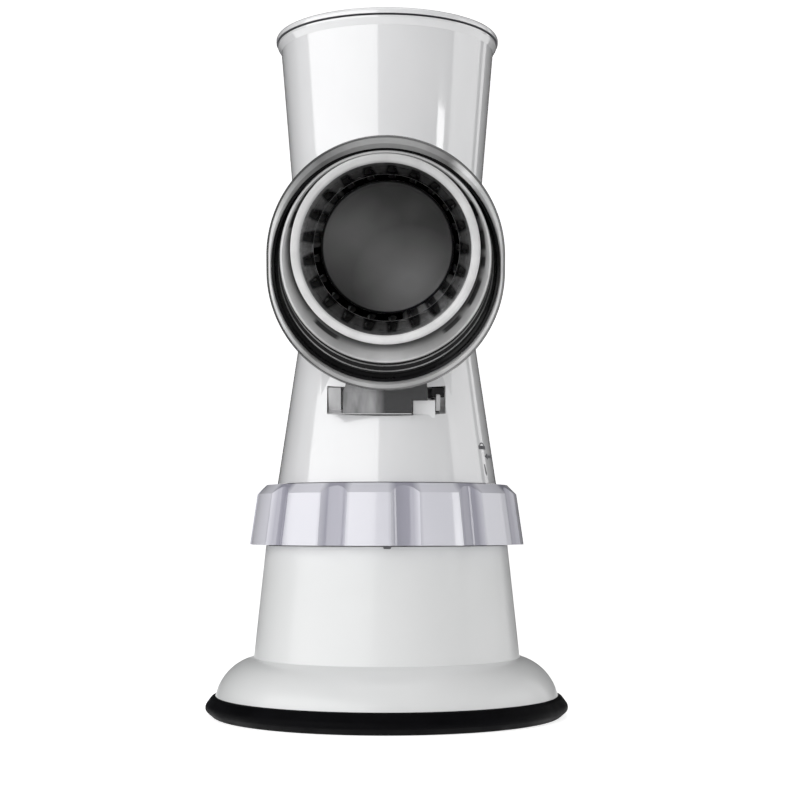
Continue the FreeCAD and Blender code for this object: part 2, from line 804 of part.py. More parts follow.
def drum_holder():
    """Clear collar round the drum's mouth, sleeve into the barrel, T-foot in the slot."""
    part = body("drum_holder", on_drum_axis=True)
    skirt_radius = "socket_bore + socket_wall"
    turn(part, outline(sketch(part, "sleeve"), [
        ("0", "sleeve_back"),
        ("sleeve_radius", "sleeve_back"),
        ("sleeve_radius", "collar_seat"),
        (skirt_radius, "collar_seat"),
        (skirt_radius, "rim_back"),
        ("0", "rim_back"),
    ]))

    # the rim is one circle swept down a little, which leaves a drip lip at its foot
    for name, centre in (("upper", "collar_upper_centre"), ("lower", "collar_lower_centre")):
        rim = circle(level_sketch(part, f"rim_{name}", "rim_back"), "collar_radius", up=centre)
        raise_up(part, rim, "collar_rim_depth")
    cheeks = rectangle(level_sketch(part, "rim_cheeks", "rim_back"), "-collar_radius",
                       "collar_lower_centre", "collar_radius", "collar_upper_centre")
    raise_up(part, cheeks, "collar_rim_depth")
    lip = circle(level_sketch(part, "drip_lip", "rim_back"), "collar_radius", up="collar_lower_centre")
    raise_up(part, lip, "rim_back - collar_seat", backwards=True, taper="-drip_taper")

    neck = rectangle(level_sketch(part, "neck", "neck_back"), "-tongue_half_width",
                     "slot_floor + slide_gap", "tongue_half_width", "neck_root")
    raise_up(part, neck, "tongue_front - neck_back")
    tongue = rectangle(level_sketch(part, "tongue", "foot_back"), "-tongue_half_width",
                       "slot_floor + slide_gap", "tongue_half_width", "slot_roof - slide_gap")
    raise_up(part, tongue, "tongue_front - foot_back")
    wings = rectangle(level_sketch(part, "wings", "foot_back"), "-(slot_half_width - slide_gap)",
                      "slot_floor + slide_gap", "slot_half_width - slide_gap", "slot_roof - slide_gap")
    raise_up(part, wings, "wing_front - foot_back")
    notch = rectangle(level_sketch(part, "key_notch", "foot_back"), "key_left - key_gap",
                      "slot_floor", "slot_half_width", "slot_floor + key_height + key_gap")
    raise_up(part, notch, "tongue_front - foot_back", cut=True)

    bore = circle(level_sketch(part, "holder_bore", "sleeve_back"), "holder_bore")
    raise_up(part, bore, "collar_front - sleeve_back", cut=True)
    recess = level_sketch(part, "recess", "collar_front - recess_depth")
    circle(recess, "recess_radius", up="recess_centre")
    circle(recess, "weir_radius", up="weir_centre")
    raise_up(part, recess, "recess_depth", cut=True)

    throat = circle(level_sketch(part, "funnel_throat", "collar_front - funnel_depth"), "holder_bore")
    edge = circle(level_sketch(part, "funnel_edge", "collar_front"), "weir_radius - weir_edge",
                  up="weir_centre")
    before = part.Shape.Volume
    funnel = part.newObject("PartDesign::SubtractiveLoft", "funnel")
    funnel.Profile = throat
    funnel.Sections = [edge]
    settle(part, funnel, before, cut=True)
    return part


# ---------------------------------------------------------------- drum

def shell_bore(station):
    """Radius of the drum shell's inside at a station."""
    return f"mouth_bore_radius - shell_slope * (shell_front - ({station}))"


def drum_mouth_ring():
    """Ring pressed on the front of the shell, which runs in the holder's bore."""
    back = "mouth_front - mouth_ring_length"
    return turned("drum_mouth_ring", [
        ("mouth_bore_radius", "shell_front"),
        ("mouth_bore_radius", "mouth_front - mouth_edge"),
        ("mouth_bore_radius + mouth_edge", "mouth_front"),
        ("mouth_ring_radius - mouth_edge", "mouth_front"),
        ("mouth_ring_radius", "mouth_front - mouth_edge"),
        ("mouth_ring_radius", back),
        (f"{shell_bore(back)} + shell_wall + press_gap", back),
        ("mouth_bore_radius + shell_wall + press_gap", "shell_front"),
    ], on_drum_axis=True)


def flat(points):
    """Face inside a closed run of straight edges."""
    return Part.Face(Part.makePolygon(points + points[:1]))


def slot_sector(station):
    """Sector that cuts the slot of the first column at a station."""
    reach = value(f"asin(cutter_width / (2 * ({shell_bore(station)})))")
    inside = value(f"{shell_bore(station)} - shell_wall")
    outside = value(f"{shell_bore(station)} + 2 * shell_wall")
    low = value(f"{station} - cutter_length / 2")
    high = value(f"{station} + cutter_length / 2")
    section = flat([Vector(inside, 0, low), Vector(outside, 0, low),
                    Vector(outside, 0, high), Vector(inside, 0, high)])
    section.rotate(ORIGIN, AXIS, -reach)
    return section.revolve(ORIGIN, AXIS, 2 * reach)


def slot_blade(station):
    """Blade that springs from the side of the slot at a station and rises over it."""
    low = f"{station} - cutter_length / 2 + blade_skin"
    start = value(low)
    inside = value(f"{shell_bore(low)} + blade_skin")
    outside = value(f"{shell_bore(low)} + shell_wall - blade_skin")
    raised = inside + value("blade_rise")
    root = value("blade_root")
    reach = value("blade_reach")
    section = flat([Vector(inside, root, start), Vector(inside, 0, start),
                    Vector(raised, -reach, start), Vector(raised + value("blade_edge"), -reach, start),
                    Vector(outside, 0, start), Vector(outside, root, start)])
    blade = section.extrude(Vector(value("shell_slope"), 0, 1) * value("cutter_length - 2 * blade_skin"))
    blade.rotate(ORIGIN, AXIS, value(f"asin(cutter_width / (2 * ({shell_bore(station)})))"))
    return blade


def drum_shell():
    """Steel shell: rows of slots, each with a blade raised over it, and a bead between rows.

    So many cuts are slow as body features, so the shape is made here from the sheet's sizes."""
    bead = "cutter_first_row - cutter_row_pitch * (bead_after_rows - 1 / 2)"
    corners = [
        ("mouth_bore_radius", "shell_front"),
        (shell_bore(f"{bead} + bead_width / 2"), f"{bead} + bead_width / 2"),
        (f"{shell_bore(bead)} - bead_depth", bead),
        (shell_bore(f"{bead} - bead_width / 2"), f"{bead} - bead_width / 2"),
        ("shell_back_bore", "shell_back"),
        ("shell_back_bore + shell_wall", "shell_back"),
        ("mouth_bore_radius + shell_wall", "shell_front"),
    ]
    wall = flat([Vector(value(radius), 0, value(station)) for radius, station in corners])
    slots = []
    blades = []
    columns = int(value("cutter_columns"))
    for row in range(int(value("cutter_rows"))):
        station = f"(cutter_first_row - {row} * cutter_row_pitch)"
        slot = slot_sector(station)
        blade = slot_blade(station)
        for column in range(columns):
            turned_by = Placement(ORIGIN, Rotation(AXIS, 360 * column / columns))
            slots.append(slot.transformed(turned_by.toMatrix()))
            blades.append(blade.transformed(turned_by.toMatrix()))
    slotted = wall.revolve(ORIGIN, AXIS, 360).cut(Part.makeCompound(slots))
    shell = slotted.fuse(Part.makeCompound(blades))
    if len(shell.Solids) != 1:
        raise RuntimeError(f"drum_shell came out as {len(shell.Solids)} solids")
    part = doc.addObject("Part::Feature", "drum_shell")
    part.Label = "drum_shell"
    part.Shape = shell.Solids[0]
    place(part, "Placement", up="axis_height", turn="90 + axis_tilt")
    return part


def drum_end_plate():
    """Plain steel disc that closes the shell in front of the hub."""
    return turned("drum_end_plate", [
        ("0", "shell_back"),
        ("shell_back_bore - press_gap", "shell_back"),
        ("shell_back_bore - press_gap", "shell_back + end_plate_depth"),
        ("0", "shell_back + end_plate_depth"),
    ], on_drum_axis=True)


def drum_hub():
    """Hub cap over the shell's back edge, with a hexagonal socket for the crank shaft."""
    rim = "shell_back_bore + shell_wall + end_rim_depth * shell_slope + press_gap"
    flange_back = "shell_back - hub_flange_depth"
    part = turned("drum_hub", [
        ("0", "shell_back"),
        (rim, "shell_back"),
        (rim, "shell_back + end_rim_depth"),
        (f"{rim} + end_rim_wall", "shell_back + end_rim_depth"),
        (f"{rim} + end_rim_wall", flange_back),
        ("hub_radius + hub_draft", flange_back),
        ("hub_radius", "hub_back"),
        ("0", "hub_back"),
    ], on_drum_axis=True)
    socket = polygon(level_sketch(part, "hex_socket", "hub_back"), "hex_flats + 2 * hex_gap", 6)
    raise_up(part, socket, "hub_socket_depth", cut=True)
    return part


# ---------------------------------------------------------------- crank and grip

def crank_shaft():
    """Shaft with a hexagonal nose, a collar inside the barrel, and a square tail for the arm."""
    part = turned("crank_shaft", [
        ("0", "arm_front"),
        ("shaft_radius", "arm_front"),
        ("shaft_radius", "collar_back"),
        ("shaft_collar_radius", "collar_back"),
        ("shaft_collar_radius", "shaft_collar_front"),
        ("0", "shaft_collar_front"),
    ], on_drum_axis=True)
    nose = polygon(level_sketch(part, "hex_nose", "shaft_collar_front"), "hex_flats", 6)
    raise_up(part, nose, "shaft_nose - shaft_collar_front")
    tail = polygon(level_sketch(part, "square_tail", "arm_front"), "tail_flats", 4)
    raise_up(part, tail, "arm_depth - seat_gap", backwards=True)
    hole = circle(level_sketch(part, "tail_bore", "arm_back"), "crank_screw_radius + shaft_gap")
    raise_up(part, hole, "crank_screw_reach + seat_gap", cut=True)
    return part


def crank_arm():
    """Tapered arm that hangs from the shaft's tail to the grip's pin, hollowed on its back."""
    part = body("crank_arm", on_drum_axis=True)
    hub = circle(level_sketch(part, "arm_hub", "arm_back"), "arm_hub_radius")
    raise_up(part, hub, "arm_depth")
    tip = circle(level_sketch(part, "arm_tip", "arm_back"), "arm_tip_radius", up="-arm_throw")
    raise_up(part, tip, "arm_depth")
    web = arm_web(part, "arm_web", "0", "0", "0")
    raise_up(part, web, "arm_depth")
    panel = arm_web(part, "arm_panel", "arm_rim", "arm_hub_radius + arm_panel_gap",
                    "arm_tip_radius + arm_panel_gap")
    raise_up(part, panel, "arm_panel_depth", cut=True)
    socket = polygon(level_sketch(part, "arm_socket", "arm_back"), "tail_flats + 2 * shaft_gap", 4)
    raise_up(part, socket, "arm_depth", cut=True)
    seat = circle(level_sketch(part, "pin_hole", "arm_back"), "pin_radius + shaft_gap", up="-arm_throw")
    raise_up(part, seat, "arm_depth", cut=True)
    return part


def arm_web(part, name, inset, top, foot):
    """Web between the arm's two rounds, drawn in by inset and short of them by top and foot."""
    def half_width(radius, centre):
        return f"{radius} / cos(arm_splay) - ({inset}) - ({centre}) * tan(arm_splay)"
    upper = half_width("arm_hub_radius", top)
    lower = half_width("arm_hub_radius", f"arm_throw - ({foot})")
    drop = f"-(arm_throw - ({foot}))"
    return outline(level_sketch(part, name, "arm_back"), [
        (f"-({lower})", drop), (lower, drop), (upper, f"-({top})"), (f"-({upper})", f"-({top})")])


def crank_washer():
    """Washer under the crank screw's head."""
    return ring("crank_washer", "crank_washer_radius", "crank_screw_radius + shaft_gap",
                "arm_back - crank_washer_depth", "arm_back", on_drum_axis=True)


def crank_screw():
    """Screw that holds the arm on the shaft's tail."""
    head_front = "arm_back - crank_washer_depth"
    head_back = f"{head_front} - crank_screw_head_depth"
    return turned("crank_screw", [
        ("0", head_back),
        ("crank_screw_head_radius / 2", head_back),
        ("crank_screw_head_radius", f"{head_back} + crank_screw_head_depth / 3"),
        ("crank_screw_head_radius", head_front),
        ("crank_screw_radius", head_front),
        ("crank_screw_radius", "arm_back + crank_screw_reach"),
        ("0", "arm_back + crank_screw_reach"),
    ], on_drum_axis=True)


def offset_turned(label, corners):
    """Body of the drum frame turned about the grip's pin."""
    part = body(label, on_drum_axis=True)
    drawing = sketch(part, f"{label}_outline")
    place(drawing, "AttachmentOffset", up="arm_throw")
    turn(part, outline(drawing, corners))
    return part


def grip_pin():
    """Pin fixed in the arm's tip, with a head that keeps the grip on."""
    return offset_turned("grip_pin", [
        ("0", "pin_head_front - pin_head_depth"),
        ("pin_head_radius", "pin_head_front - pin_head_depth"),
        ("pin_head_radius", "pin_head_front"),
        ("pin_radius", "pin_head_front"),
        ("pin_radius", "arm_front - seat_gap"),
        ("0", "arm_front - seat_gap"),
    ])


def grip():
    """Barrel-shaped grip that turns on its pin."""
    bore = "pin_radius + shaft_gap"
    floor = "grip_back + grip_counterbore_depth"
    return offset_turned("grip", [
        (bore, "grip_front"),
        (bore, floor),
        ("grip_counterbore_radius", floor),
        ("grip_counterbore_radius", "grip_back"),
        ("grip_tip_radius", "grip_back"),
        ("grip_belly_radius", "grip_front - grip_belly_place - grip_belly_length"),
        ("grip_belly_radius", "grip_front - grip_belly_place"),
        ("grip_root_radius", "grip_front"),
    ])


def grip_cap():
    """Crowned plug in the end of the grip."""
    edge = "grip_counterbore_radius - press_gap"
    return offset_turned("grip_cap", [
        ("0", "grip_back - grip_cap_crown"),
        (f"({edge}) / 2", "grip_back - grip_cap_crown"),
        (edge, "grip_back"),
        (edge, "grip_back + grip_cap_depth"),
        ("0", "grip_back + grip_cap_depth"),
    ])


# ---------------------------------------------------------------- pusher

def stem_radius(height):
    """Outside of the pusher's stem at a height, a gap inside the hopper's wall."""
    return f"waist_radius - housing_wall - pusher_gap + (({height}) - waist_height) * hopper_slope"


def pusher():
    """Hollow pusher: flange over the hopper's lip and a tapered stem."""
    inside_top = f"{stem_radius('cap_top')} - pusher_wall"
    inside_floor = "pusher_floor_height + pusher_floor"
    return turned("pusher", [
        ("0", "pusher_floor_height"),
        (stem_radius("pusher_floor_height"), "pusher_floor_height"),
        (stem_radius("cap_bottom"), "cap_bottom"),
        ("cap_radius", "cap_bottom"),
        ("cap_radius", "cap_top - cap_bevel"),
        ("cap_radius - cap_bevel", "cap_top"),
        (inside_top, "cap_top"),
        (f"{stem_radius(inside_floor)} - pusher_wall", inside_floor),
        ("0", inside_floor),
    ])


def pusher_plate():
    """Plate under the stem, hollowed and ridged to the curve of the drum."""
    part = turned("pusher_plate", [
        ("0", "plate_foot_height"),
        (stem_radius("plate_foot_height"), "plate_foot_height"),
        (stem_radius("pusher_floor_height"), "pusher_floor_height"),
        ("0", "pusher_floor_height"),
    ])
    reach = "2 * hopper_top_radius"
    corners = [(f"-{reach}", "0"), (f"-{reach}", "saddle_radius")]
    ridges = int(value("hopper_top_radius / saddle_ridge_pitch")) - 1
    for number in range(-ridges, ridges + 1):
        middle = f"{number} * saddle_ridge_pitch"
        corners += [
            (f"{middle} - saddle_ridge_width / 2", "saddle_radius"),
            (f"{middle} - saddle_ridge_width / 2", "saddle_radius - saddle_ridge"),
            (f"{middle} + saddle_ridge_width / 2", "saddle_radius - saddle_ridge"),
            (f"{middle} + saddle_ridge_width / 2", "saddle_radius"),
        ]
    corners += [(reach, "saddle_radius"), (reach, "0")]
    turn(part, outline(axis_sketch(part, "saddle"), corners), "H_Axis", cut=True)
    return part


# ---------------------------------------------------------------- build and write

PARTS = [
    suction_cup(), lower_housing(), upper_housing(), housing_screws(), rear_bush(), shaft_seal(),
    lock_ring(), lift_spider(), lift_pins(), cup_stud(), stud_washer(), stud_nut(),
    drum_holder(), drum_mouth_ring(), drum_shell(), drum_end_plate(), drum_hub(),
    crank_shaft(), crank_arm(), crank_washer(), crank_screw(), grip_pin(), grip(), grip_cap(),
    pusher(), pusher_plate(),
]

doc.recompute()
for item in doc.Objects:
    if "Invalid" in item.State or "Error" in item.State:
        raise RuntimeError(f"{item.Label} failed: {item.State}")
for part in PARTS:
    if part.Shape.isNull() or not part.Shape.isValid():
        raise RuntimeError(f"{part.Label} has no valid shape")

os.makedirs("parts", exist_ok=True)
for part in PARTS:
    part.Shape.exportStep(f"parts/{part.Label}.step")
    print(part.Label, len(part.Shape.Solids), round(part.Shape.Volume))
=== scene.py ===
import logging
import math
from dataclasses import dataclass
from enum import Enum
from functools import cache
from typing import Sequence, Union

import bmesh
import bpy
from mathutils import Matrix, Vector


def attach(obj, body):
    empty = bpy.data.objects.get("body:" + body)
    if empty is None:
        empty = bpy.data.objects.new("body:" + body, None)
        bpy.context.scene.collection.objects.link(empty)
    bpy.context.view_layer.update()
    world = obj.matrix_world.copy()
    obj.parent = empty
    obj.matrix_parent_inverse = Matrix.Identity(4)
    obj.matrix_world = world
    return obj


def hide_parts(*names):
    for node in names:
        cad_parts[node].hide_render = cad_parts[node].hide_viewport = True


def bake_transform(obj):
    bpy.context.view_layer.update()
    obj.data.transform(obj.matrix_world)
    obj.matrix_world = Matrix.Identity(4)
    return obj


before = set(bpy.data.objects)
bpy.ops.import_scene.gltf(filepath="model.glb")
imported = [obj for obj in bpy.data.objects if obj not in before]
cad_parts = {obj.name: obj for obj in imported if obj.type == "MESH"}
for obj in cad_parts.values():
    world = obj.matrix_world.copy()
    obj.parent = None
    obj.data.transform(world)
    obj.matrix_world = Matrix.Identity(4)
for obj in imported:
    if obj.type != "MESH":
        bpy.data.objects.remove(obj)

log = logging.getLogger("rotary_shredder")

MM = 0.001
DRUM_HEIGHT = 174.9
DRUM_TILT = 10.0
SHARP_EDGE = 34.0
MERGE_DISTANCE = 1e-6
CORNER_SHARE = 0.48
BEVEL_ANGLE = 40.0
HOOP_STEPS = 180
# near-black colour of painted shade inside the drum
PAINTED_SHADE_BLACK = (0.003, 0.003, 0.003)

Point = tuple[float, float]
Corner = tuple[float, float, float]
Colour = tuple[float, float, float]
Tones = tuple[Point, ...]
Loop = list[Corner]
Face = tuple[int, ...]
Entry = Union["Wire", float, Sequence[float]]


class Place(Enum):
    """Frames that the pieces are drawn in."""

    UPRIGHT = "upright"
    DRUM = "drum"

    def matrix(self) -> Matrix:
        """Matrix from this frame to the row frame.

        Returns:
            The matrix, in metres.
        """
        if self is Place.UPRIGHT:
            return Matrix.Identity(4)
        return Matrix.Translation((0, 0, DRUM_HEIGHT * MM)) @ Matrix.Rotation(math.radians(90 + DRUM_TILT), 4, "X")


# ---------------------------------------------------------------- node sheets

@dataclass(frozen=True)
class Wire:
    """Value that runs out of a node, and what can be made of it."""

    sheet: "NodeSheet"
    socket: bpy.types.NodeSocket

    def __add__(self, other: Entry) -> "Wire":
        """Sum with a wire or a number."""
        return self.sheet.math("ADD", self, other)

    def __sub__(self, other: Entry) -> "Wire":
        """This less a wire or a number."""
        return self.sheet.math("SUBTRACT", self, other)

    def __mul__(self, other: Entry) -> "Wire":
        """Product with a wire or a number."""
        return self.sheet.math("MULTIPLY", self, other)

    def rest(self) -> "Wire":
        """One less this."""
        return self.sheet.math("SUBTRACT", 1.0, self)

    def peak(self, other: Entry) -> "Wire":
        """The higher of the two."""
        return self.sheet.math("MAXIMUM", self, other)

    def size(self) -> "Wire":
        """This without its sign."""
        return self.sheet.math("ABSOLUTE", self)

    def hypot(self, other: "Wire") -> "Wire":
        """Length of a vector with these two legs."""
        return self.sheet.math("SQRT", self * self + other * other)

    def turns(self, up: "Wire") -> "Wire":
        """Way round the axis from -180 degrees, 0 to 1, of a point this far across and so far up."""
        return self.sheet.math("ARCTAN2", up, self).spread(0.0, 1.0, -math.pi, math.pi)

    def parts(self) -> list["Wire"]:
        """Its X, Y and Z."""
        return [Wire(self.sheet, output) for output in self.sheet.add("SeparateXYZ", self).outputs]

    def spread(self, low: Entry, high: Entry, start: float = 0.3, end: float = 0.7) -> "Wire":
        """This mapped from start..end to low..high."""
        return self.sheet.node("MapRange", Value=self, From_Min=start, From_Max=end, To_Min=low, To_Max=high)

    def noise(self, scale: float, detail: float = 2.0, roughness: float = 0.5) -> "Wire":
        """Grey noise over these coordinates, with its scale per metre, octaves and their weight."""
        return self.sheet.node("TexNoise", Vector=self, Scale=scale, Detail=detail, Roughness=roughness)

    def stretched(self, scale: Corner, turn: float = 0.0) -> "Wire":
        """These coordinates scaled along the axes and turned about Z, in degrees, for a texture that runs one way."""
        return self.sheet.node("Mapping", Vector=self, Scale=scale, Rotation=(0.0, 0.0, math.radians(turn)))

    def bump(self, distance: float, strength: float) -> "Wire":
        """Normal bumped by this height, with the relief in millimetres and the share of it that shows."""
        return self.sheet.node("Bump", Height=self, Distance=distance * MM, Strength=strength)

    def blend(self, first: Entry, second: Entry) -> "Wire":
        """Colour between two others, by this factor.

        Args:
            first: Wire or colour at 0.
            second: Wire or colour at 1.

        Returns:
            The colour.
        """
        node = self.sheet.add("Mix", data_type="RGBA", Factor=self)
        for index, entry in ((6, first), (7, second)):
            self.sheet.feed(node.inputs[index], entry)
        return Wire(self.sheet, node.outputs[2])

    def ramp(self, stops: Sequence[Point]) -> "Wire":
        """Grey ramp over this factor.

        Args:
            stops: Positions and grey levels.

        Returns:
            The ramp's grey.
        """
        node = self.sheet.add("ValToRGB", Fac=self)
        elements = node.color_ramp.elements
        while len(elements) < len(stops):
            elements.new(0.5)
        for element, (position, grey) in zip(elements, stops):
            element.position = position
            element.color = (grey, grey, grey, 1.0)
        return Wire(self.sheet, node.outputs["Color"])


class NodeSheet:
    """Node tree of a material or of the world, with short ways to fill it."""

    def __init__(self, owner: bpy.types.ID, kind: str) -> None:
        """Start an empty sheet.

        Args:
            owner: Material or world.
            kind: Kind of output node, Material or World.
        """
        owner.use_nodes = True
        self.tree = owner.node_tree
        self.tree.nodes.clear()
        self.output = self.add(f"Output{kind}")

    def feed(self, socket: bpy.types.NodeSocket, entry: Entry) -> None:
        """Give an input its wire, number, vector or colour.

        Args:
            socket: The input.
            entry: What it gets.
        """
        if isinstance(entry, Wire):
            self.tree.links.new(entry.socket, socket)
        else:
            socket.default_value = (*entry, 1.0) if socket.type == "RGBA" else entry

    def add(self, kind: str, *entries: Entry, **named: object) -> bpy.types.Node:
        """Add a node.

        Args:
            kind: Node type, without the ShaderNode prefix.
            entries: What its inputs get, in their order.
            named: What its inputs get by name, with _ for a space; a name in lower case is a property of the node.

        Returns:
            The new node.
        """
        node = self.tree.nodes.new(f"ShaderNode{kind}")
        for name, entry in named.items():
            if name.islower():
                setattr(node, name, entry)
            else:
                self.feed(node.inputs[name.replace("_", " ")], entry)
        for socket, entry in zip(node.inputs, entries):
            self.feed(socket, entry)
        return node

    def node(self, kind: str, *entries: Entry, **named: object) -> Wire:
        """First output of a new node."""
        return Wire(self, self.add(kind, *entries, **named).outputs[0])

    def math(self, operation: str, first: Entry, second: Entry = 0.0) -> Wire:
        """Result of one math node."""
        return self.node("Math", first, second, operation=operation)

    def rays(self, *kinds: str) -> Wire:
        """1 for the kinds of rays that are named, 0 for the others.

        Args:
            kinds: Names of the rays, such as Camera.

        Returns:
            The factor.
        """
        path = self.add("LightPath")
        first, *others = [Wire(self, path.outputs[f"Is {kind} Ray"]) for kind in kinds]
        for other in others:
            first = first.peak(other)
        return first

    def inward(self) -> Wire:
        """1 where the surface faces its own Z axis, 0 where it faces away from it.

        Returns:
            The factor.
        """
        place = self.add("TexCoord").outputs
        flat = self.node("VectorMath", Wire(self, place["Object"]), (1.0, 1.0, 0.0), operation="MULTIPLY")
        facing = self.add("VectorMath", flat, Wire(self, place["Normal"]), operation="DOT_PRODUCT")
        return Wire(self, facing.outputs["Value"]).spread(1.0, 0.0, -2.0 * MM, 2.0 * MM)

    def end(self, shader: Wire) -> None:
        """Join a shader to the sheet's output."""
        self.feed(self.output.inputs["Surface"], shader)

    def surface(self, **values: Entry) -> Wire:
        """Principled shader joined to the output.

        Args:
            values: What its inputs get, with _ for a space in a name.

        Returns:
            The shader.
        """
        shader = self.node("BsdfPrincipled", **values)
        self.end(shader)
        return shader


def arc_stops(angle: float, half: float, level: float) -> list[Point]:
    """Stops of a ramp round the axis for one soft-edged arc.

    Args:
        angle: Middle of the arc, in degrees.
        half: Its half width, in degrees.
        level: Level on the arc.

    Returns:
        Positions and levels.
    """
    middle, reach = (angle + 180.0) / 360.0, half / 360.0
    return [(middle - reach, 0.0), (middle - reach * 0.7, level), (min(middle + reach * 0.7, 0.99), level),
            (min(middle + reach, 1.0), 0.0)]


def round_stops(painted_light_tones: Tones) -> list[Point]:
    """Stops of a ramp round the axis, from (angle in degrees, level)."""
    return [((angle + 180.0) / 360.0, level) for angle, level in sorted(painted_light_tones)]


# ---------------------------------------------------------------- finishes

@dataclass(frozen=True)
class Finish:
    """Named material, whose nodes each kind of finish draws in its own way."""

    name: str

    def draw(self, sheet: NodeSheet, where: Wire) -> None:
        """Draw the nodes over the piece's own coordinates, in metres."""
        raise NotImplementedError(self.name)

    def build(self) -> bpy.types.Material:
        """Make the material.

        Returns:
            The material.
        """
        material = bpy.data.materials.new(self.name)
        sheet = NodeSheet(material, "Material")
        self.draw(sheet, Wire(sheet, sheet.add("TexCoord").outputs["Object"]))
        return material


@dataclass(frozen=True)
class MouldedPlastic(Finish):
    """Glossy or satin injection-moulded plastic with faint orange peel and uneven gloss."""

    colour: Colour
    shade: Colour
    gloss: float = 0.16
    peel: float = 0.02
    coat: float = 0.85
    coat_index: float = 1.85
    coat_gloss: float = 0.05
    drift: float = 0.17
    groove_shade: Colour | None = None
    grooves: int = 12
    groove_turn: float = 8.0
    groove_share: float = 0.24

    def draw(self, sheet: NodeSheet, where: Wire) -> None:
        """Draw the nodes; the groove colour is painted shade that darkens the grip grooves spaced evenly round the
        axis.

        Args:
            sheet: Sheet that is filled.
            where: Coordinates.
        """
        colour = where.noise(22.0, 3.0).spread(0.0, 1.0).blend(self.shade, self.colour)
        # painted shade: the grip grooves are darkened by angle round the axis
        if self.groove_shade:
            across, up, _ = where.parts()
            turn = sheet.math("ARCTAN2", up, across) - math.radians(self.groove_turn)
            groove_shade_mask = sheet.math("PINGPONG", turn * (self.grooves / (2 * math.pi)), 0.5)
            colour = groove_shade_mask.spread(1.0, 0.0, self.groove_share * 0.5, self.groove_share).blend(colour, self.groove_shade)
        flow = where.stretched((1.0, 1.0, 0.25)).noise(160.0, 3.0)
        sheet.surface(Base_Color=colour, Normal=where.noise(900.0, 2.0).bump(self.peel, 0.35), IOR=1.5,
                      Roughness=flow.spread(self.gloss * (1 - self.drift), self.gloss * (1 + self.drift)),
                      Coat_Weight=self.coat, Coat_Roughness=self.coat_gloss, Coat_IOR=self.coat_index)


@dataclass(frozen=True)
class SmokyPlastic(Finish):
    """Smoky plastic with drawn flow lines, see-through by its clearness."""

    colour: Colour
    streak: Colour
    clearness: float = 0.0
    gloss: float = 0.07
    streak_scale: float = 55.0
    shine: float = 0.5
    shade_fade: Point | None = None
    shade_colour: Colour = (0.028, 0.028, 0.03)

    def draw(self, sheet: NodeSheet, where: Wire) -> None:
        """Draw the nodes; the shade fade names the places across, in millimetres, between which painted shade darkens
        it to its shade colour.

        Args:
            sheet: Sheet that is filled.
            where: Coordinates.
        """
        flow = where.stretched((1.0, 0.3, 1.0), 24.0).noise(self.streak_scale, 4.0, 0.6)
        colour = flow.spread(0.0, 1.0, 0.38, 0.66).blend(self.colour, self.streak)
        # painted shade: one side across is darkened
        if self.shade_fade:
            start, end = self.shade_fade
            colour = where.parts()[0].spread(0.0, 1.0, start * MM, end * MM).blend(colour, self.shade_colour)
        alpha = flow.spread(1.0 - self.clearness, 1.0 - self.clearness * 0.6) if self.clearness else 1.0
        fine = where.noise(700.0, 2.0)
        sheet.surface(Base_Color=colour, Roughness=fine.spread(self.gloss, self.gloss * 1.7), Alpha=alpha,
                      Normal=fine.bump(0.01, 0.3), IOR=1.55, Specular_IOR_Level=self.shine)


@dataclass(frozen=True)
class RingedPlastic(Finish):
    """Plastic of a turned ring, whose grey changes round it as painted light and shade, with dark dashes on one band.
    """

    painted_light_tones: Tones
    dashes: Tones = ()
    centre: float = 0.0
    inner: float = 32.9
    outer: float = 34.6
    gloss: float = 0.18
    shine: float = 0.4
    mottle: Colour = (0.25, 0.25, 0.255)
    dash: Colour = (0.03, 0.03, 0.032)
    inward_shade: Corner | None = None

    def draw(self, sheet: NodeSheet, where: Wire) -> None:
        """Draw the nodes. The tones are painted light and shade as (angle, grey), and dashes (angle, half width), in
        degrees.

        The inward shade is painted shade that darkens the ring inwards: the share left inside, and the radii between
        which it fades.

        Args:
            sheet: Sheet that is filled.
            where: Coordinates.
        """
        across, up, _ = where.parts()
        up = up - self.centre * MM
        turns, radius = across.turns(up), across.hypot(up)
        # painted light and shade: the grey is set by angle round the ring
        painted_tone = (turns + where.noise(90.0, 3.0).spread(-0.012, 0.012)).ramp(round_stops(self.painted_light_tones))
        colour = where.noise(130.0, 3.0).spread(0.0, 0.22).blend(painted_tone, self.mottle)
        # painted shade: the ring darkens towards its bore
        if self.inward_shade:
            share, start, end = self.inward_shade
            colour = radius.spread(1.0 - share, 0.0, start * MM, end * MM).blend(colour, self.dash)
        if self.dashes:
            stops = [(0.0, 0.0)] + [stop for dash in sorted(self.dashes) for stop in arc_stops(*dash, 1.0)]
            band = radius.spread(0.0, 1.0, self.inner * MM, self.outer * MM).ramp(
                [(0.0, 0.0), (0.2, 1.0), (0.8, 1.0), (1.0, 0.0)])
            cloud = where.noise(60.0, 3.0).spread(0.75, 1.0)
            colour = (turns.ramp(stops) * band * cloud).blend(colour, self.dash)
        fine = where.noise(500.0, 2.0)
        sheet.surface(Base_Color=colour, Roughness=fine.spread(self.gloss, self.gloss * 1.5), IOR=1.5,
                      Normal=fine.bump(0.01, 0.3), Specular_IOR_Level=self.shine)


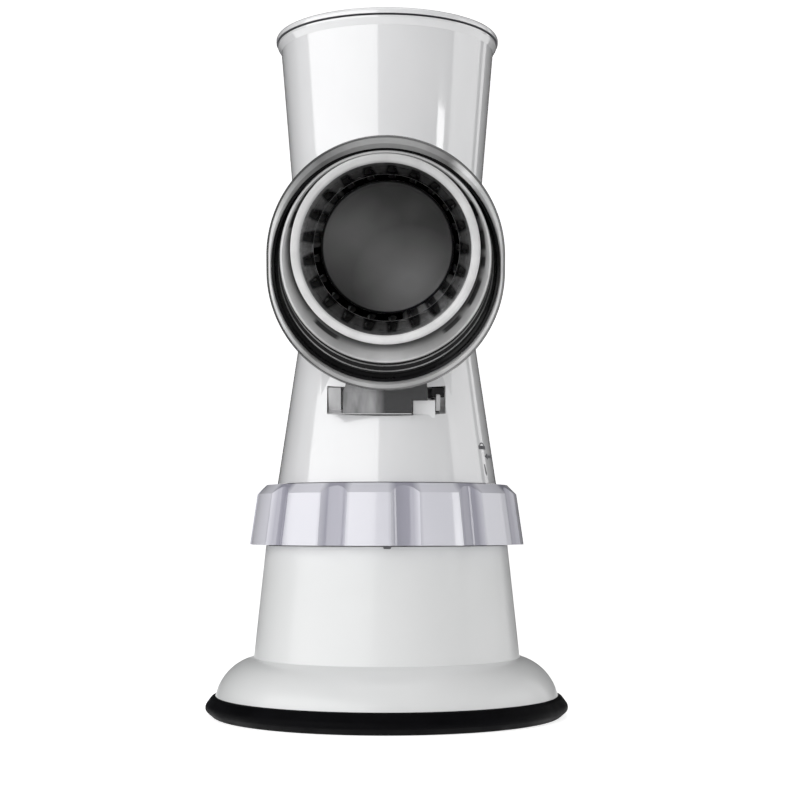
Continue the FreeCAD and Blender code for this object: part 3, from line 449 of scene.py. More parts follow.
@dataclass(frozen=True)
class BrushedSteel(Finish):
    """Steel with fine drawn lines; the inner shade is painted shade, a dark colour for the side that faces the axis.
    """

    colour: Colour
    dark: Colour
    roughness: float = 0.3
    blotch: float = 0.35
    inner_shade: Colour | None = None

    def draw(self, sheet: NodeSheet, where: Wire) -> None:
        """Draw the nodes.

        Args:
            sheet: Sheet that is filled.
            where: Coordinates.
        """
        lines = where.stretched((1.0, 1.0, 14.0)).noise(420.0, 3.0, 0.7)
        cloud = where.noise(42.0, 3.0).spread(0.0, self.blotch)
        colour = (lines.spread(0.0, 1.0 - self.blotch) + cloud).blend(self.dark, self.colour)
        metal, shine = 1.0, 0.5
        # painted shade: the side that faces the axis gets the inner shade colour and loses its metal
        if self.inner_shade:
            inward = sheet.inward()
            colour, metal, shine = inward.blend(colour, self.inner_shade), inward.rest(), 0.05
        sheet.surface(Base_Color=colour, Metallic=metal, Specular_IOR_Level=shine, Normal=lines.bump(0.008, 0.5),
                      Roughness=lines.spread(self.roughness * 0.8, self.roughness * 1.25))


@dataclass(frozen=True)
class DrumSteel(Finish):
    """Drawn steel of the drum's shell, with painted shade in dark teardrops round its slots and painted shade nearly
    black past the bead.

    The tones are painted light and shade as (angle, share); glint and sheen are painted highlights as (angle, half
    width), in degrees.
    """

    colour: Colour
    dark: Colour
    painted_light_tones: Tones
    columns: int = 21
    bead: float = 19.5
    # the next three fields shape the teardrops of painted shade round the slots
    slot_shade_end: float = 66.0
    slot_shade_wide: float = 0.36
    slot_shade_narrow: float = 0.24
    # glint and sheen are painted highlights by angle; bright is the colour of the painted glint and bead line
    glint: Point = (-50.0, 27.0)
    sheen: Point = (163.0, 34.0)
    bright: Colour = (0.95, 0.95, 0.95)

    def slot_shade(self, turns: Wire, station: Wire) -> Wire:
        """Teardrop of painted shade round each slot, which narrows towards the mouth.

        Args:
            turns: Way round the shell, 0 to 1.
            station: Place along it, in metres.

        Returns:
            1 in the middle of a teardrop and 0 between them.
        """
        column = turns.sheet.math("FRACT", turns * float(self.columns) + (0.5 - (self.columns / 2) % 1.0))
        width = station.spread(self.slot_shade_wide, self.slot_shade_narrow, self.bead * MM, self.slot_shade_end * MM)
        near = (width - (column - 0.5).size()).spread(0.0, 1.0, 0.0, 0.11)
        return near * station.spread(1.0, 0.0, (self.slot_shade_end - 5.0) * MM, (self.slot_shade_end + 2.0) * MM)

    def draw(self, sheet: NodeSheet, where: Wire) -> None:
        """Draw the nodes.

        Args:
            sheet: Sheet that is filled.
            where: Coordinates.
        """
        across, up, station = where.parts()
        turns = across.turns(up)
        # painted highlights: the glint and the weaker sheen by angle round the shell
        glint = turns.ramp(arc_stops(*self.glint, 1.0))
        lit = glint.peak(turns.ramp(arc_stops(*self.sheen, 0.8)))
        # painted shade: past the bead the steel is nearly black, save for the painted highlights
        past = station.spread(0.0, 1.0, (self.bead - 0.6) * MM, (self.bead + 0.6) * MM)
        behind = past.rest() * lit
        # painted shade: dark teardrops round the slots
        bare = (self.slot_shade(turns, station) * 0.95).rest()
        # painted highlight: light line along the bead
        bead_highlight = (station - self.bead * MM).size().spread(0.8, 0.0, 0.2 * MM, 0.6 * MM)
        inward = sheet.inward()
        outside = inward.rest()
        # painted light and shade by angle on the steel before the bead; the outside stays plain
        level = ((past * turns.ramp(round_stops(self.painted_light_tones))).peak(behind) * bare).peak(bead_highlight).peak(outside)
        lines = where.stretched((1.0, 1.0, 0.06)).noise(620.0, 3.0, 0.7)
        mixed = lines.spread(0.0, 0.6) + where.noise(110.0, 3.0).spread(0.0, 0.4)
        steel = level.blend(PAINTED_SHADE_BLACK, mixed.blend(self.dark, self.colour))
        # painted highlight: the glint and the bead line take the bright colour
        white = (glint * (behind * bare)).peak(bead_highlight * inward)
        sheet.surface(Base_Color=white.blend(steel, self.bright), Metallic=outside * 0.85, Roughness=0.38,
                      Specular_IOR_Level=level * 0.35, Normal=lines.bump(0.01, 0.5))


@dataclass(frozen=True)
class SpunDisc(Finish):
    """Dull steel disc with turned lines, a dark rim of painted shadow and paler patches of painted light, given as
    (across, up, radius, weight).
    """

    colour: Colour
    pale: Colour
    patches: tuple[tuple[float, ...], ...] = ((9.0, -14.0, 23.0, 0.75), (-15.0, 4.0, 22.0, 0.25))
    rim: float = 25.4
    rim_shadow_colour: Colour = (0.006, 0.006, 0.006)

    def draw(self, sheet: NodeSheet, where: Wire) -> None:
        """Draw the nodes.

        Args:
            sheet: Sheet that is filled.
            where: Coordinates.
        """
        across, up, _ = where.parts()
        factor = where.noise(38.0, 2.0).spread(0.0, 0.2)
        # painted light: paler pools on the disc
        for side, rise, reach, weight in self.patches:
            away = (across - side * MM).hypot(up - rise * MM)
            factor = factor + away.spread(weight, 0.0, reach * 0.15 * MM, reach * MM)
        radius = across.hypot(up)
        lines = sheet.node("TexNoise", noise_dimensions="1D", Scale=2600.0, W=radius)
        steel = factor.blend(self.colour, self.pale)
        # painted shadow: a dark line round the disc's edge
        shadow = radius.spread(0.0, 1.0, (self.rim - 0.4) * MM, self.rim * MM)
        sheet.surface(Base_Color=shadow.blend(steel, self.rim_shadow_colour), Metallic=0.1,
                      Roughness=lines.spread(0.42, 0.58), Normal=lines.bump(0.01, 0.4))


@dataclass(frozen=True)
class Rubber(Finish):
    """Black rubber, polished by its mould, with a little bloom."""

    colour: Colour
    bloom: Colour
    gloss: float = 0.4
    shine: float = 0.3

    def draw(self, sheet: NodeSheet, where: Wire) -> None:
        """Draw the nodes.

        Args:
            sheet: Sheet that is filled.
            where: Coordinates.
        """
        cloud = where.noise(70.0, 4.0, 0.6)
        sheet.surface(Base_Color=cloud.spread(0.0, 1.0, 0.4, 0.75).blend(self.colour, self.bloom),
                      Roughness=cloud.spread(self.gloss, self.gloss * 1.8), IOR=1.52,
                      Normal=where.noise(1300.0, 2.0).bump(0.015, 0.4), Specular_IOR_Level=self.shine)


@dataclass(frozen=True)
class StudioPaper(Finish):
    """Pale floor that shows white to the camera and in gloss, and keeps the shadow."""

    colour: Colour
    glow: float = 0.75

    def draw(self, sheet: NodeSheet, where: Wire) -> None:
        """Draw the nodes.

        Args:
            sheet: Sheet that is filled.
            where: Coordinates.
        """
        deeper = tuple(0.99 * part for part in self.colour)
        paper = sheet.surface(Roughness=0.8, Normal=where.noise(600.0, 2.0).bump(0.02, 0.2),
                              Base_Color=where.noise(4.0).blend(self.colour, deeper))
        seen = sheet.rays("Camera", "Glossy", "Transmission")
        glow = sheet.node("Emission", Color=(1.0, 1.0, 1.0), Strength=seen * self.glow)
        sheet.end(sheet.node("AddShader", paper, glow))


class Look(Enum):
    """Finishes of the shredder."""

    WHITE = MouldedPlastic("white_gloss", (0.80, 0.80, 0.81), (0.765, 0.77, 0.78))
    FOOT_WHITE = MouldedPlastic("white_semi_gloss", (0.80, 0.805, 0.805), (0.765, 0.775, 0.775), 0.3, 0.008,
                                coat=0.25, coat_index=1.6, coat_gloss=0.16, drift=0.03)
    # lock ring: its grooves get painted shade
    RING_WHITE = MouldedPlastic("ring_gloss", (0.735, 0.73, 0.79), (0.70, 0.70, 0.76), 0.2, coat=0.45,
                                groove_shade=(0.36, 0.355, 0.42))
    # mouth ring: grey by angle is painted light and shade
    SATIN = RingedPlastic("mouth_satin", ((-180, 0.74), (-90, 0.84), (0, 0.76), (90, 0.58), (180, 0.74)),
                          gloss=0.62, shine=0.15)
    # collar lip: the smoky plastic is drawn opaque, with painted reflections and shade by angle
    LIP_SMOKE = RingedPlastic("lip_smoke", (
        (-180, 0.98), (-150, 0.88), (-128, 0.34), (-100, 0.52), (-80, 0.36), (-50, 0.62), (-20, 0.86), (20, 0.80),
        (40, 0.60), (47, 0.98), (56, 0.16), (78, 0.36), (104, 0.34), (122, 0.14), (140, 0.36), (160, 0.90),
        (180, 0.98)), centre=-5.1, gloss=0.12)
    # painted shade: dark edge band by angle
    LIP_EDGE = RingedPlastic("lip_edge", (
        (-180, 0.02), (-120, 0.05), (-80, 0.20), (-30, 0.24), (20, 0.22), (70, 0.12), (120, 0.05), (180, 0.02)),
        centre=-5.1)
    # painted shade: the gutter's near-black colour stands for the shade in the recess
    GUTTER_SHADE = SmokyPlastic("gutter_painted_shade", (0.002, 0.002, 0.002), (0.008, 0.008, 0.009), shine=0.12)
    # painted highlights: thin light lines on the gutter's steps, by angle
    GUTTER_HIGHLIGHT = RingedPlastic("gutter_highlight_line", (
        (-180, 0.02), (-150, 0.10), (-125, 0.45), (-95, 0.22), (-65, 0.55), (-40, 0.30), (-20, 0.03), (180, 0.02)),
        centre=-5.0)
    # tongue and neck: painted shade on their right side
    FOOT_SMOKE = SmokyPlastic("foot_smoke", (0.13, 0.13, 0.133), (0.52, 0.52, 0.53), 0.08, streak_scale=75.0,
                              shine=0.35, shade_fade=(-3.6, -0.4))
    # painted highlight: pale copy of the smoky plastic
    FOOT_LIT = SmokyPlastic("foot_painted_highlight", (0.45, 0.45, 0.455), (0.72, 0.72, 0.73))
    # painted shade: near-black copy of the smoky plastic
    FOOT_SHADED = SmokyPlastic("foot_painted_shade", (0.004, 0.004, 0.004), (0.015, 0.015, 0.016), shine=0.1)
    # weir: grey by angle is painted light and shade, darkened towards the bore as painted shade
    WEIR_GREY = RingedPlastic("weir_grey", (
        (-180, 0.78), (-150, 0.66), (-118, 0.44), (-90, 0.72), (-60, 0.56), (-30, 0.80), (0, 0.84), (40, 0.78),
        (75, 0.50), (100, 0.56), (135, 0.42), (160, 0.72), (180, 0.78)),
        ((26, 6), (8, 7), (-5, 4), (-24, 10), (-47, 8), (-128, 10), (160, 6)), -1.4, inward_shade=(0.35, 32.4, 34.4))
    # drum shell: painted shade round the slots and past the bead, painted highlights on the bead and inside
    DRUM_STEEL = DrumSteel("drum_shell_steel", (0.78, 0.78, 0.79), (0.12, 0.12, 0.125), (
        (-180, 1.0), (-140, 0.3), (-95, 0.25), (-50, 0.7), (-10, 0.35), (60, 0.12), (110, 0.16), (150, 0.5),
        (180, 1.0)))
    # blades: painted shade on the side that faces the axis
    BLADE_STEEL = BrushedSteel("blade_steel", (0.50, 0.50, 0.51), (0.30, 0.30, 0.31), 0.35,
                               inner_shade=(0.004, 0.004, 0.004))
    # end disc: painted light patches and painted shadow at the rim
    DISC_STEEL = SpunDisc("disc_steel", (0.12, 0.12, 0.121), (0.80, 0.80, 0.805))
    BRIGHT_STEEL = BrushedSteel("bright_steel", (0.62, 0.63, 0.65), (0.42, 0.43, 0.45), 0.24)
    NYLON = MouldedPlastic("grey_nylon", (0.30, 0.30, 0.31), (0.25, 0.25, 0.26), 0.4, 0.03, 0.0)
    HUB_SATIN = MouldedPlastic("hub_satin", (0.70, 0.705, 0.71), (0.63, 0.635, 0.64), 0.42, 0.03, 0.0)
    RUBBER = Rubber("black_rubber", (0.0015, 0.0015, 0.002), (0.004, 0.004, 0.005), 0.4, 0.04)
    # print of the marks, also used as painted shadow under the pusher's flange
    PRINT_AND_SHADOW = MouldedPlastic("grey_print_and_shadow", (0.10, 0.10, 0.11), (0.07, 0.07, 0.08), 0.5, 0.01, 0.0)

    @cache
    def material(self) -> bpy.types.Material:
        """Its material, made when it is first asked for."""
        return self.value.build()


# ---------------------------------------------------------------- mesh drawing

def rounded(corners: Sequence[Corner], closed: bool = True, steps: int = 5) -> list[Point]:
    """Round the corners of an outline.

    Args:
        corners: Corners as (radius, height, rounding), in millimetres.
        closed: Whether the last corner joins the first.
        steps: Points on each round.

    Returns:
        Points of the rounded outline.
    """
    points: list[Point] = []
    count = len(corners)
    for index, (across, up, rounding) in enumerate(corners):
        here = Vector((across, up))
        if rounding <= 0 or (not closed and index in (0, count - 1)):
            points.append((across, up))
            continue
        before = Vector(corners[index - 1][:2]) - here
        after = Vector(corners[(index + 1) % count][:2]) - here
        reach = min(rounding, before.length * CORNER_SHARE, after.length * CORNER_SHARE)
        start = here + before.normalized() * reach
        end = here + after.normalized() * reach
        for step in range(steps + 1):
            share = step / steps
            point = start * (1 - share) ** 2 + here * 2 * share * (1 - share) + end * share ** 2
            points.append((point.x, point.y))
    return points


def around(radius: float, angle: float, height: float) -> Corner:
    """Point so far from the axis, at an angle round it and at a height."""
    return radius * math.cos(angle), radius * math.sin(angle), height


def circle(radius: float, height: float, segments: int) -> Loop:
    """Closed ring of points round the axis."""
    return [around(radius, 2 * math.pi * step / segments, height) for step in range(segments)]


def band(first: Sequence[int], second: Sequence[int]) -> list[Face]:
    """Faces between two closed rings of as many points, given by the points' numbers."""
    return list(zip(first, [*first[1:], first[0]], [*second[1:], second[0]], second))


def lay(verts: Loop, faces: list[Face], rings: Sequence[Loop], closed: bool = False) -> None:
    """Add a surface through closed rings to a mesh that is being drawn.

    Args:
        verts: Points of the mesh so far.
        faces: Faces of the mesh so far.
        rings: Rings of as many points each.
        closed: Whether the last ring joins the first.
    """
    count = len(rings[0])
    starts = [len(verts) + row * count for row in range(len(rings))]
    verts.extend(vert for ring in rings for vert in ring)
    pairs = list(zip(starts, starts[1:] + starts[:1]))
    for first, second in pairs if closed else pairs[:-1]:
        faces.extend(band(range(first, first + count), range(second, second + count)))


def drawn(name: str, verts: Sequence[Corner], faces: Sequence[Face],
          place: Place = Place.UPRIGHT) -> bpy.types.Object:
    """Object from points in millimetres.

    Args:
        name: Object name.
        verts: Points, in the frame that place names.
        faces: Indices of each face's points.
        place: Frame that the points are in.

    Returns:
        The object, linked to the scene.
    """
    mesh = bpy.data.meshes.new(name)
    mesh.from_pydata([[part * MM for part in vert] for vert in verts], [], faces)
    tidy = bmesh.new()
    tidy.from_mesh(mesh)
    bmesh.ops.remove_doubles(tidy, verts=tidy.verts, dist=MERGE_DISTANCE)
    bmesh.ops.recalc_face_normals(tidy, faces=tidy.faces)
    tidy.to_mesh(mesh)
    tidy.free()
    mesh.shade_smooth()
    mesh.set_sharp_from_angle(angle=math.radians(SHARP_EDGE))
    piece = bpy.data.objects.new(name, mesh)
    piece.matrix_world = place.matrix()
    bpy.context.scene.collection.objects.link(piece)
    return piece


def swept(name: str, rings: Sequence[Loop], place: Place, closed: bool = True) -> bpy.types.Object:
    """Surface through closed rings of as many points each.

    Args:
        name: Object name.
        rings: Rings of points.
        place: Frame that the points are in.
        closed: Whether the last ring joins the first.

    Returns:
        The object.
    """
    verts: Loop = []
    faces: list[Face] = []
    lay(verts, faces, rings, closed)
    return drawn(name, verts, faces, place)


def turned(name: str, outline: Sequence[Point], place: Place = Place.UPRIGHT, closed: bool = True,
           segments: int = 144) -> bpy.types.Object:
    """Surface of revolution about the frame's Z axis.

    Args:
        name: Object name.
        outline: Points as (radius, height).
        place: Frame that the outline is in.
        closed: Whether the outline closes on itself.
        segments: Steps round the axis.

    Returns:
        The object.
    """
    return swept(name, [circle(radius, height, segments) for radius, height in outline], place, closed)


@dataclass(frozen=True)
class Hoop:
    """Round or slightly lengthened ring at one station of the drum's axis."""

    radius: float
    upper: float
    lower: float
    station: float

    def reach(self, angle: float) -> float:
        """Distance from the drum's axis to the hoop.

        Args:
            angle: Angle round the axis, in radians.

        Returns:
            The distance, in millimetres.
        """
        sine, cosine = math.sin(angle), math.cos(angle)
        for centre in (self.upper, self.lower):
            inside = self.radius ** 2 - (centre * cosine) ** 2
            reach = centre * sine + math.sqrt(inside)
            height = reach * sine
            if centre == self.upper and height >= self.upper or centre == self.lower and height <= self.lower:
                return reach
        return self.radius / abs(cosine)

    def ring(self) -> Loop:
        """The hoop's points."""
        angles = [2 * math.pi * step / HOOP_STEPS for step in range(HOOP_STEPS)]
        return [around(self.reach(angle), angle, self.station) for angle in angles]


def hooped(name: str, hoops: Sequence[Hoop]) -> bpy.types.Object:
    """Closed surface through hoops of the drum frame."""
    return swept(name, [hoop.ring() for hoop in hoops], Place.DRUM)


def pillar(name: str, corners: Sequence[Corner], low: float, high: float, place: Place,
           edge: float = 0.35) -> bpy.types.Object:
    """Prism with softened edges, raised from an outline.

    Args:
        name: Object name.
        corners: Outline corners as (across, along, rounding).
        low: Height of the foot.
        high: Height of the top.
        place: Frame that it is drawn in.
        edge: Width of the edge bevel, in millimetres, or 0 for none.

    Returns:
        The object.
    """
    outline = rounded(corners, steps=3)
    count = len(outline)
    verts: Loop = []
    faces: list[Face] = [tuple(range(count)), tuple(range(count, 2 * count))]
    lay(verts, faces, [[(across, along, height) for across, along in outline] for height in (low, high)])
    piece = drawn(name, verts, faces, place)
    if edge > 0:
        bevel = piece.modifiers.new("soft_edges", "BEVEL")
        bevel.width = edge * MM
        bevel.segments = 2
        bevel.limit_method = "ANGLE"
        bevel.angle_limit = math.radians(BEVEL_ANGLE)
        bevel.harden_normals = False
    return piece


def dress(piece: bpy.types.Object, look: Look, body: str, slot: str, *nodes: str) -> None:
    """Give a piece its finish and body, and hide the CAD nodes that it stands for.

    Args:
        piece: The object.
        look: Its finish.
        body: Body that it rides on.
        slot: Not used.
        nodes: CAD nodes that it replaces.
    """
    piece.data.materials.append(look.material())
    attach(piece, body)
    if nodes:
        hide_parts(*nodes)
    log.info("piece %s on %s", piece.name, body)


def refinish(look: Look, *nodes: str) -> None:
    """Put a better material on CAD nodes that stay.

    Args:
        look: The finish.
        nodes: Names of the CAD nodes.
    """
    finish = look.material()
    for node in nodes:
        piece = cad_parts[node]
        if not piece.material_slots:
            piece.data.materials.append(finish)
        for holder in piece.material_slots:
            holder.material = finish
        log.info("finish %s on %s", finish.name, node)


# ---------------------------------------------------------------- sub-assemblies

@dataclass
class SuctionFoot:
    """Rubber cup under the pedestal."""

    radius: float = 67.0
    bevel: float = 3.0
    height: float = 7.6
    seat: float = 64.0
    membrane: float = 3.0
    boss_radius: float = 10.5
    boss_height: float = 17.0
    root: float = 2.6
    stretch: Point = (3.2, 7.4)

    def rim(self) -> list[Point]:
        """Section of the cup from its middle round the rim and back over the membrane.

        Returns:
            The section's points.
        """
        return rounded([
            (0.0, 0.0, 0), (self.radius - self.bevel, 0.0, 0.8), (self.radius, self.bevel - 0.4, 1.2),
            (self.radius - 0.1, self.bevel + 1.3, 0.9), (self.seat + 0.7, self.height - 0.4, 0.6),
            (self.seat - 0.2, self.height, 0.2), (self.seat - 3.7, self.height, 0.6),
            (self.seat - 6.0, self.membrane, 1.2), (0.0, self.membrane, 0)], closed=False)

    def boss(self) -> list[Point]:
        """Section of the boss that holds the stud's head.

        Returns:
            The section's points.
        """
        return rounded([
            (0.0, self.root, 0), (self.boss_radius + 1.5, self.root, 0.0), (self.boss_radius, self.boss_height, 0.5),
            (4.3, self.boss_height, 0.3), (4.3, 11.5, 0.0), (7.3, 11.5, 0.0), (7.3, 7.7, 0.0), (0.0, 7.7, 0)],
            closed=False)

    def build(self) -> None:
        """Draw and dress the cup and its boss."""
        cup = turned("cup_rubber", self.rim(), closed=False, segments=192)
        dress(cup, Look.RUBBER, "housing", "black_rubber", "suction_cup")
        boss = turned("cup_boss", self.boss(), closed=False)
        boss.data.materials.append(Look.RUBBER.material())
        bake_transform(boss)
        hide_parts("suction_cup")
        log.info("piece %s between housing and lift", boss.name)


@dataclass
class Pusher:
    """Pusher in the hopper: flange, stem and the plate with ridges."""

    cap_radius: float = 42.3
    cap_bottom: float = 252.5
    cap_top: float = 255.0
    floor: float = 222.0
    wall: float = 2.2
    waist: float = 28.8
    waist_height: float = 148.0
    slope: float = 8.6 / 101.0

    def stem(self, height: float) -> float:
        """Outside radius of the stem at a height."""
        return self.waist + (height - self.waist_height) * self.slope

    def build(self) -> None:
        """Draw and dress the pusher, with a rounded inner edge, a bead round its floor and painted shadow in dark grey
        under its flange.
        """
        top = self.stem(self.cap_top) - self.wall
        outline = rounded([
            (0.0, self.floor, 0), (self.stem(self.floor), self.floor, 0.3),
            (self.stem(self.cap_bottom), self.cap_bottom, 0.4), (self.cap_radius - 0.1, self.cap_bottom, 0.3),
            (self.cap_radius, self.cap_top - 0.9, 0.6), (self.cap_radius - 0.9, self.cap_top, 0.7),
            (top + 0.3, self.cap_top, 0.9), (self.stem(self.floor + 5) - self.wall, self.floor + 5, 1.0),
            (self.stem(self.floor + 3) - self.wall - 1.4, self.floor + 3, 1.2), (0.0, self.floor + 3, 0)],
            closed=False)
        piece = turned("pusher_moulding", outline, closed=False, segments=192)
        dress(piece, Look.WHITE, "pusher", "body_white", "pusher")
        # painted shadow: the flange's underside faces get the dark grey of the print material
        piece.data.materials.append(Look.PRINT_AND_SHADOW.material())
        for face in piece.data.polygons:
            middle = face.center / MM
            if abs(middle.z - self.cap_bottom) < 0.12 and middle.xy.length > self.stem(self.cap_bottom) + 1.0:
                face.material_index = 1
        refinish(Look.WHITE, "pusher_plate")


@dataclass
class Collar:
    """Smoky drum holder: lip, gutter, weir ring, sleeve, neck and T-foot."""

    front: float = 61.0
    back: float = 50.0
    lip_radius: float = 41.0
    lip_centres: Point = (-2.3, -7.8)
    recess_radius: float = 39.5
    recess_centre: float = -5.1
    recess_low: float = -6.5
    recess_floor: float = 51.2
    weir_radius: float = 36.4
    weir_centre: float = -2.85
    bore: float = 32.9
    sleeve_radius: float = 36.0
    sleeve_back: float = 25.0
    shoulder: float = 38.8
    seat: float = 38.3
    lines: tuple[Point, ...] = ((36.9, -3.9), (37.5, -5.2), (38.2, -6.4))
    floor: float = -58.4
    key: float = -53.2
    roof: float = -49.6
    foot_back: float = 18.0

    def wear(self, piece: bpy.types.Object, look: Look, *nodes: str) -> None:
        """Dress a piece of the holder."""
        dress(piece, look, "holder", "smoky_clear", *nodes)

    def lip(self) -> None:
        """Outer shell of the collar, with painted light and shade round it, and a thin edge band in painted shade."""
        upper, lower = self.lip_centres
        outer = self.lip_radius
        hoops = [
            Hoop(self.shoulder - 0.2, 0.0, 0.0, self.seat), Hoop(self.shoulder, 0.0, -0.5, self.seat + 3.0),
            Hoop(self.shoulder + 0.4, -0.6, -3.0, self.back - 5.0),
            Hoop(outer - 0.8, upper, lower + 1.2, self.back - 0.6),
            Hoop(outer, upper, lower, self.back + 1.2), Hoop(outer, upper, lower, self.front - 1.4),
            Hoop(outer - 0.5, upper, lower, self.front - 0.3), Hoop(outer - 1.0, upper, lower, self.front),
            Hoop(self.recess_radius + 0.1, self.recess_centre + 1.4, self.recess_low - 0.6, self.front - 0.2),
            Hoop(self.recess_radius, self.recess_centre, self.recess_low, self.front - 1.6),
            Hoop(self.recess_radius - 0.2, self.recess_centre, self.recess_low, self.recess_floor),
            Hoop(self.sleeve_radius + 0.3, 0.0, 0.0, self.seat),
        ]
        self.wear(hooped("collar_lip", hoops), Look.LIP_SMOKE, "drum_holder")
        # painted shade: a thin dark band along the lip's front edge
        edge = [Hoop(outer + 0.02, upper, lower, self.back + 1.6), Hoop(outer + 0.03, upper, lower, self.front - 1.3),
                Hoop(outer - 0.4, upper, lower, self.front - 0.2), Hoop(outer - 0.72, upper, lower, self.front + 0.02),
                Hoop(outer - 0.9, upper, lower, self.front - 0.5), Hoop(outer - 0.5, upper, lower, self.back + 1.6)]
        self.wear(hooped("collar_shade_edge", edge), Look.LIP_EDGE)

    def gutter(self) -> None:
        """Floor of the gutter, dark as painted shade, with two low steps, and thin lines on it that carry painted
        highlights.
        """
        edge = self.recess_radius - 0.25
        centre, low = self.recess_centre, self.recess_low
        hoops = [
            Hoop(edge, centre, low, self.front - 2.6), Hoop(edge - 0.8, centre, low, self.front - 2.8),
            Hoop(edge - 1.0, centre, low, self.recess_floor + 2.6),
            Hoop(edge - 1.7, centre + 0.3, low + 0.3, self.recess_floor + 2.4),
            Hoop(edge - 1.8, centre + 0.4, low + 0.4, self.recess_floor + 0.6),
            Hoop(self.weir_radius - 0.6, self.weir_centre, self.weir_centre, self.recess_floor + 0.6),
            Hoop(self.weir_radius - 0.6, self.weir_centre, self.weir_centre, self.recess_floor - 0.8),
            Hoop(edge, centre, low, self.recess_floor - 0.8),
        ]
        self.wear(hooped("collar_gutter", hoops), Look.GUTTER_SHADE)
        # painted highlights: thin light lines standing on the gutter floor
        top = self.recess_floor + 1.1
        for number, (radius, middle) in enumerate(self.lines, start=1):
            line = [Hoop(radius + aside, middle, middle, top - drop)
                    for aside, drop in ((-0.2, 0.8), (-0.2, 0.0), (0.2, 0.0), (0.2, 0.8))]
            self.wear(hooped(f"gutter_highlight_line_{number}", line), Look.GUTTER_HIGHLIGHT)

    def weir(self) -> None:
        """Grey ring between the gutter and the drum's mouth, with painted light and shade by angle and painted shade
        towards its bore.
        """
        middle = self.weir_centre
        hoops = [
            Hoop(self.weir_radius, middle, middle, self.recess_floor - 1.0),
            Hoop(self.weir_radius, middle, middle, self.front - 0.8),
            Hoop(self.weir_radius - 0.3, middle, middle, self.front - 0.1),
            Hoop(self.weir_radius - 0.8, middle, middle, self.front),
            Hoop(self.weir_radius - 1.5, middle * 0.9, middle * 0.9, self.front - 0.9),
            Hoop((self.weir_radius + self.bore) / 2 - 0.2, middle * 0.5, middle * 0.5, self.front - 3.4),
            Hoop(self.bore, 0.0, 0.0, self.front - 7.0),
            Hoop(self.bore, 0.0, 0.0, self.sleeve_back),
            Hoop(self.sleeve_radius, 0.0, 0.0, self.sleeve_back),
            Hoop(self.sleeve_radius, 0.0, 0.0, self.seat + 2.0),
        ]
        self.wear(hooped("collar_weir", hoops), Look.WEIR_GREY)

    def foot(self) -> None:
        """T-foot: two wings, a tongue with its notch for the key, and the neck up to the collar; tongue and neck
        darken on their right as painted shade, the right wing is in painted shade, and the left wing, a rib and a rim
        strip are pale as painted highlights.
        """
        floor, key, roof, back = self.floor, self.key, self.roof, self.foot_back
        pillars = {
            "foot_tongue": (Look.FOOT_SMOKE, back, 51.0, 0.35, [
                (-15.2, floor + 0.7, 0.4), (9.1, floor + 0.7, 0.2), (9.1, key, 0.2), (14.7, key, 0.3),
                (14.7, roof, 0.3), (-15.2, roof, 0.3)]),
            # painted highlight: the left wing is pale
            "foot_wing_left": (Look.FOOT_LIT, back, 39.5, 0.35, [
                (-20.8, floor, 0.4), (-16.2, floor, 0.2), (-16.2, roof, 0.2), (-20.8, roof, 0.4)]),
            # painted shade: the right wing is near black
            "foot_wing_right": (Look.FOOT_SHADED, back, 39.5, 0.35, [
                (16.2, key, 0.2), (20.8, key, 0.3), (20.8, roof, 0.4), (16.2, roof, 0.2)]),
            # painted highlight: pale rib beside the key
            "foot_rib_right": (Look.FOOT_LIT, back, 41.0, 0.35, [
                (17.7, floor + 0.4, 0.3), (19.3, floor + 0.4, 0.5), (19.3, -52.0, 0.6), (17.7, -52.0, 0.3)]),
            # painted highlight: thin pale strip along the tongue's lower edge
            "foot_rim_highlight": (Look.FOOT_LIT, 38.0, 51.2, 0.05, [
                (-20.6, floor + 0.4, 0.1), (9.0, floor + 0.4, 0.1), (9.0, floor + 0.75, 0.1),
                (-20.6, floor + 0.75, 0.1)]),
            "foot_neck": (Look.FOOT_SMOKE, 45.0, 51.4, 0.35, [
                (-15.0, roof - 0.5, 0.2), (14.5, roof - 0.5, 0.2), (14.3, -44.4, 0.6), (-13.4, -44.4, 0.6)]),
        }
        for name, (look, low, high, edge, corners) in pillars.items():
            self.wear(pillar(name, corners, low, high, Place.DRUM, edge), look)

    def build(self) -> None:
        """Draw every piece of the holder."""
        self.lip()
        self.gutter()
        self.weir()
        self.foot()


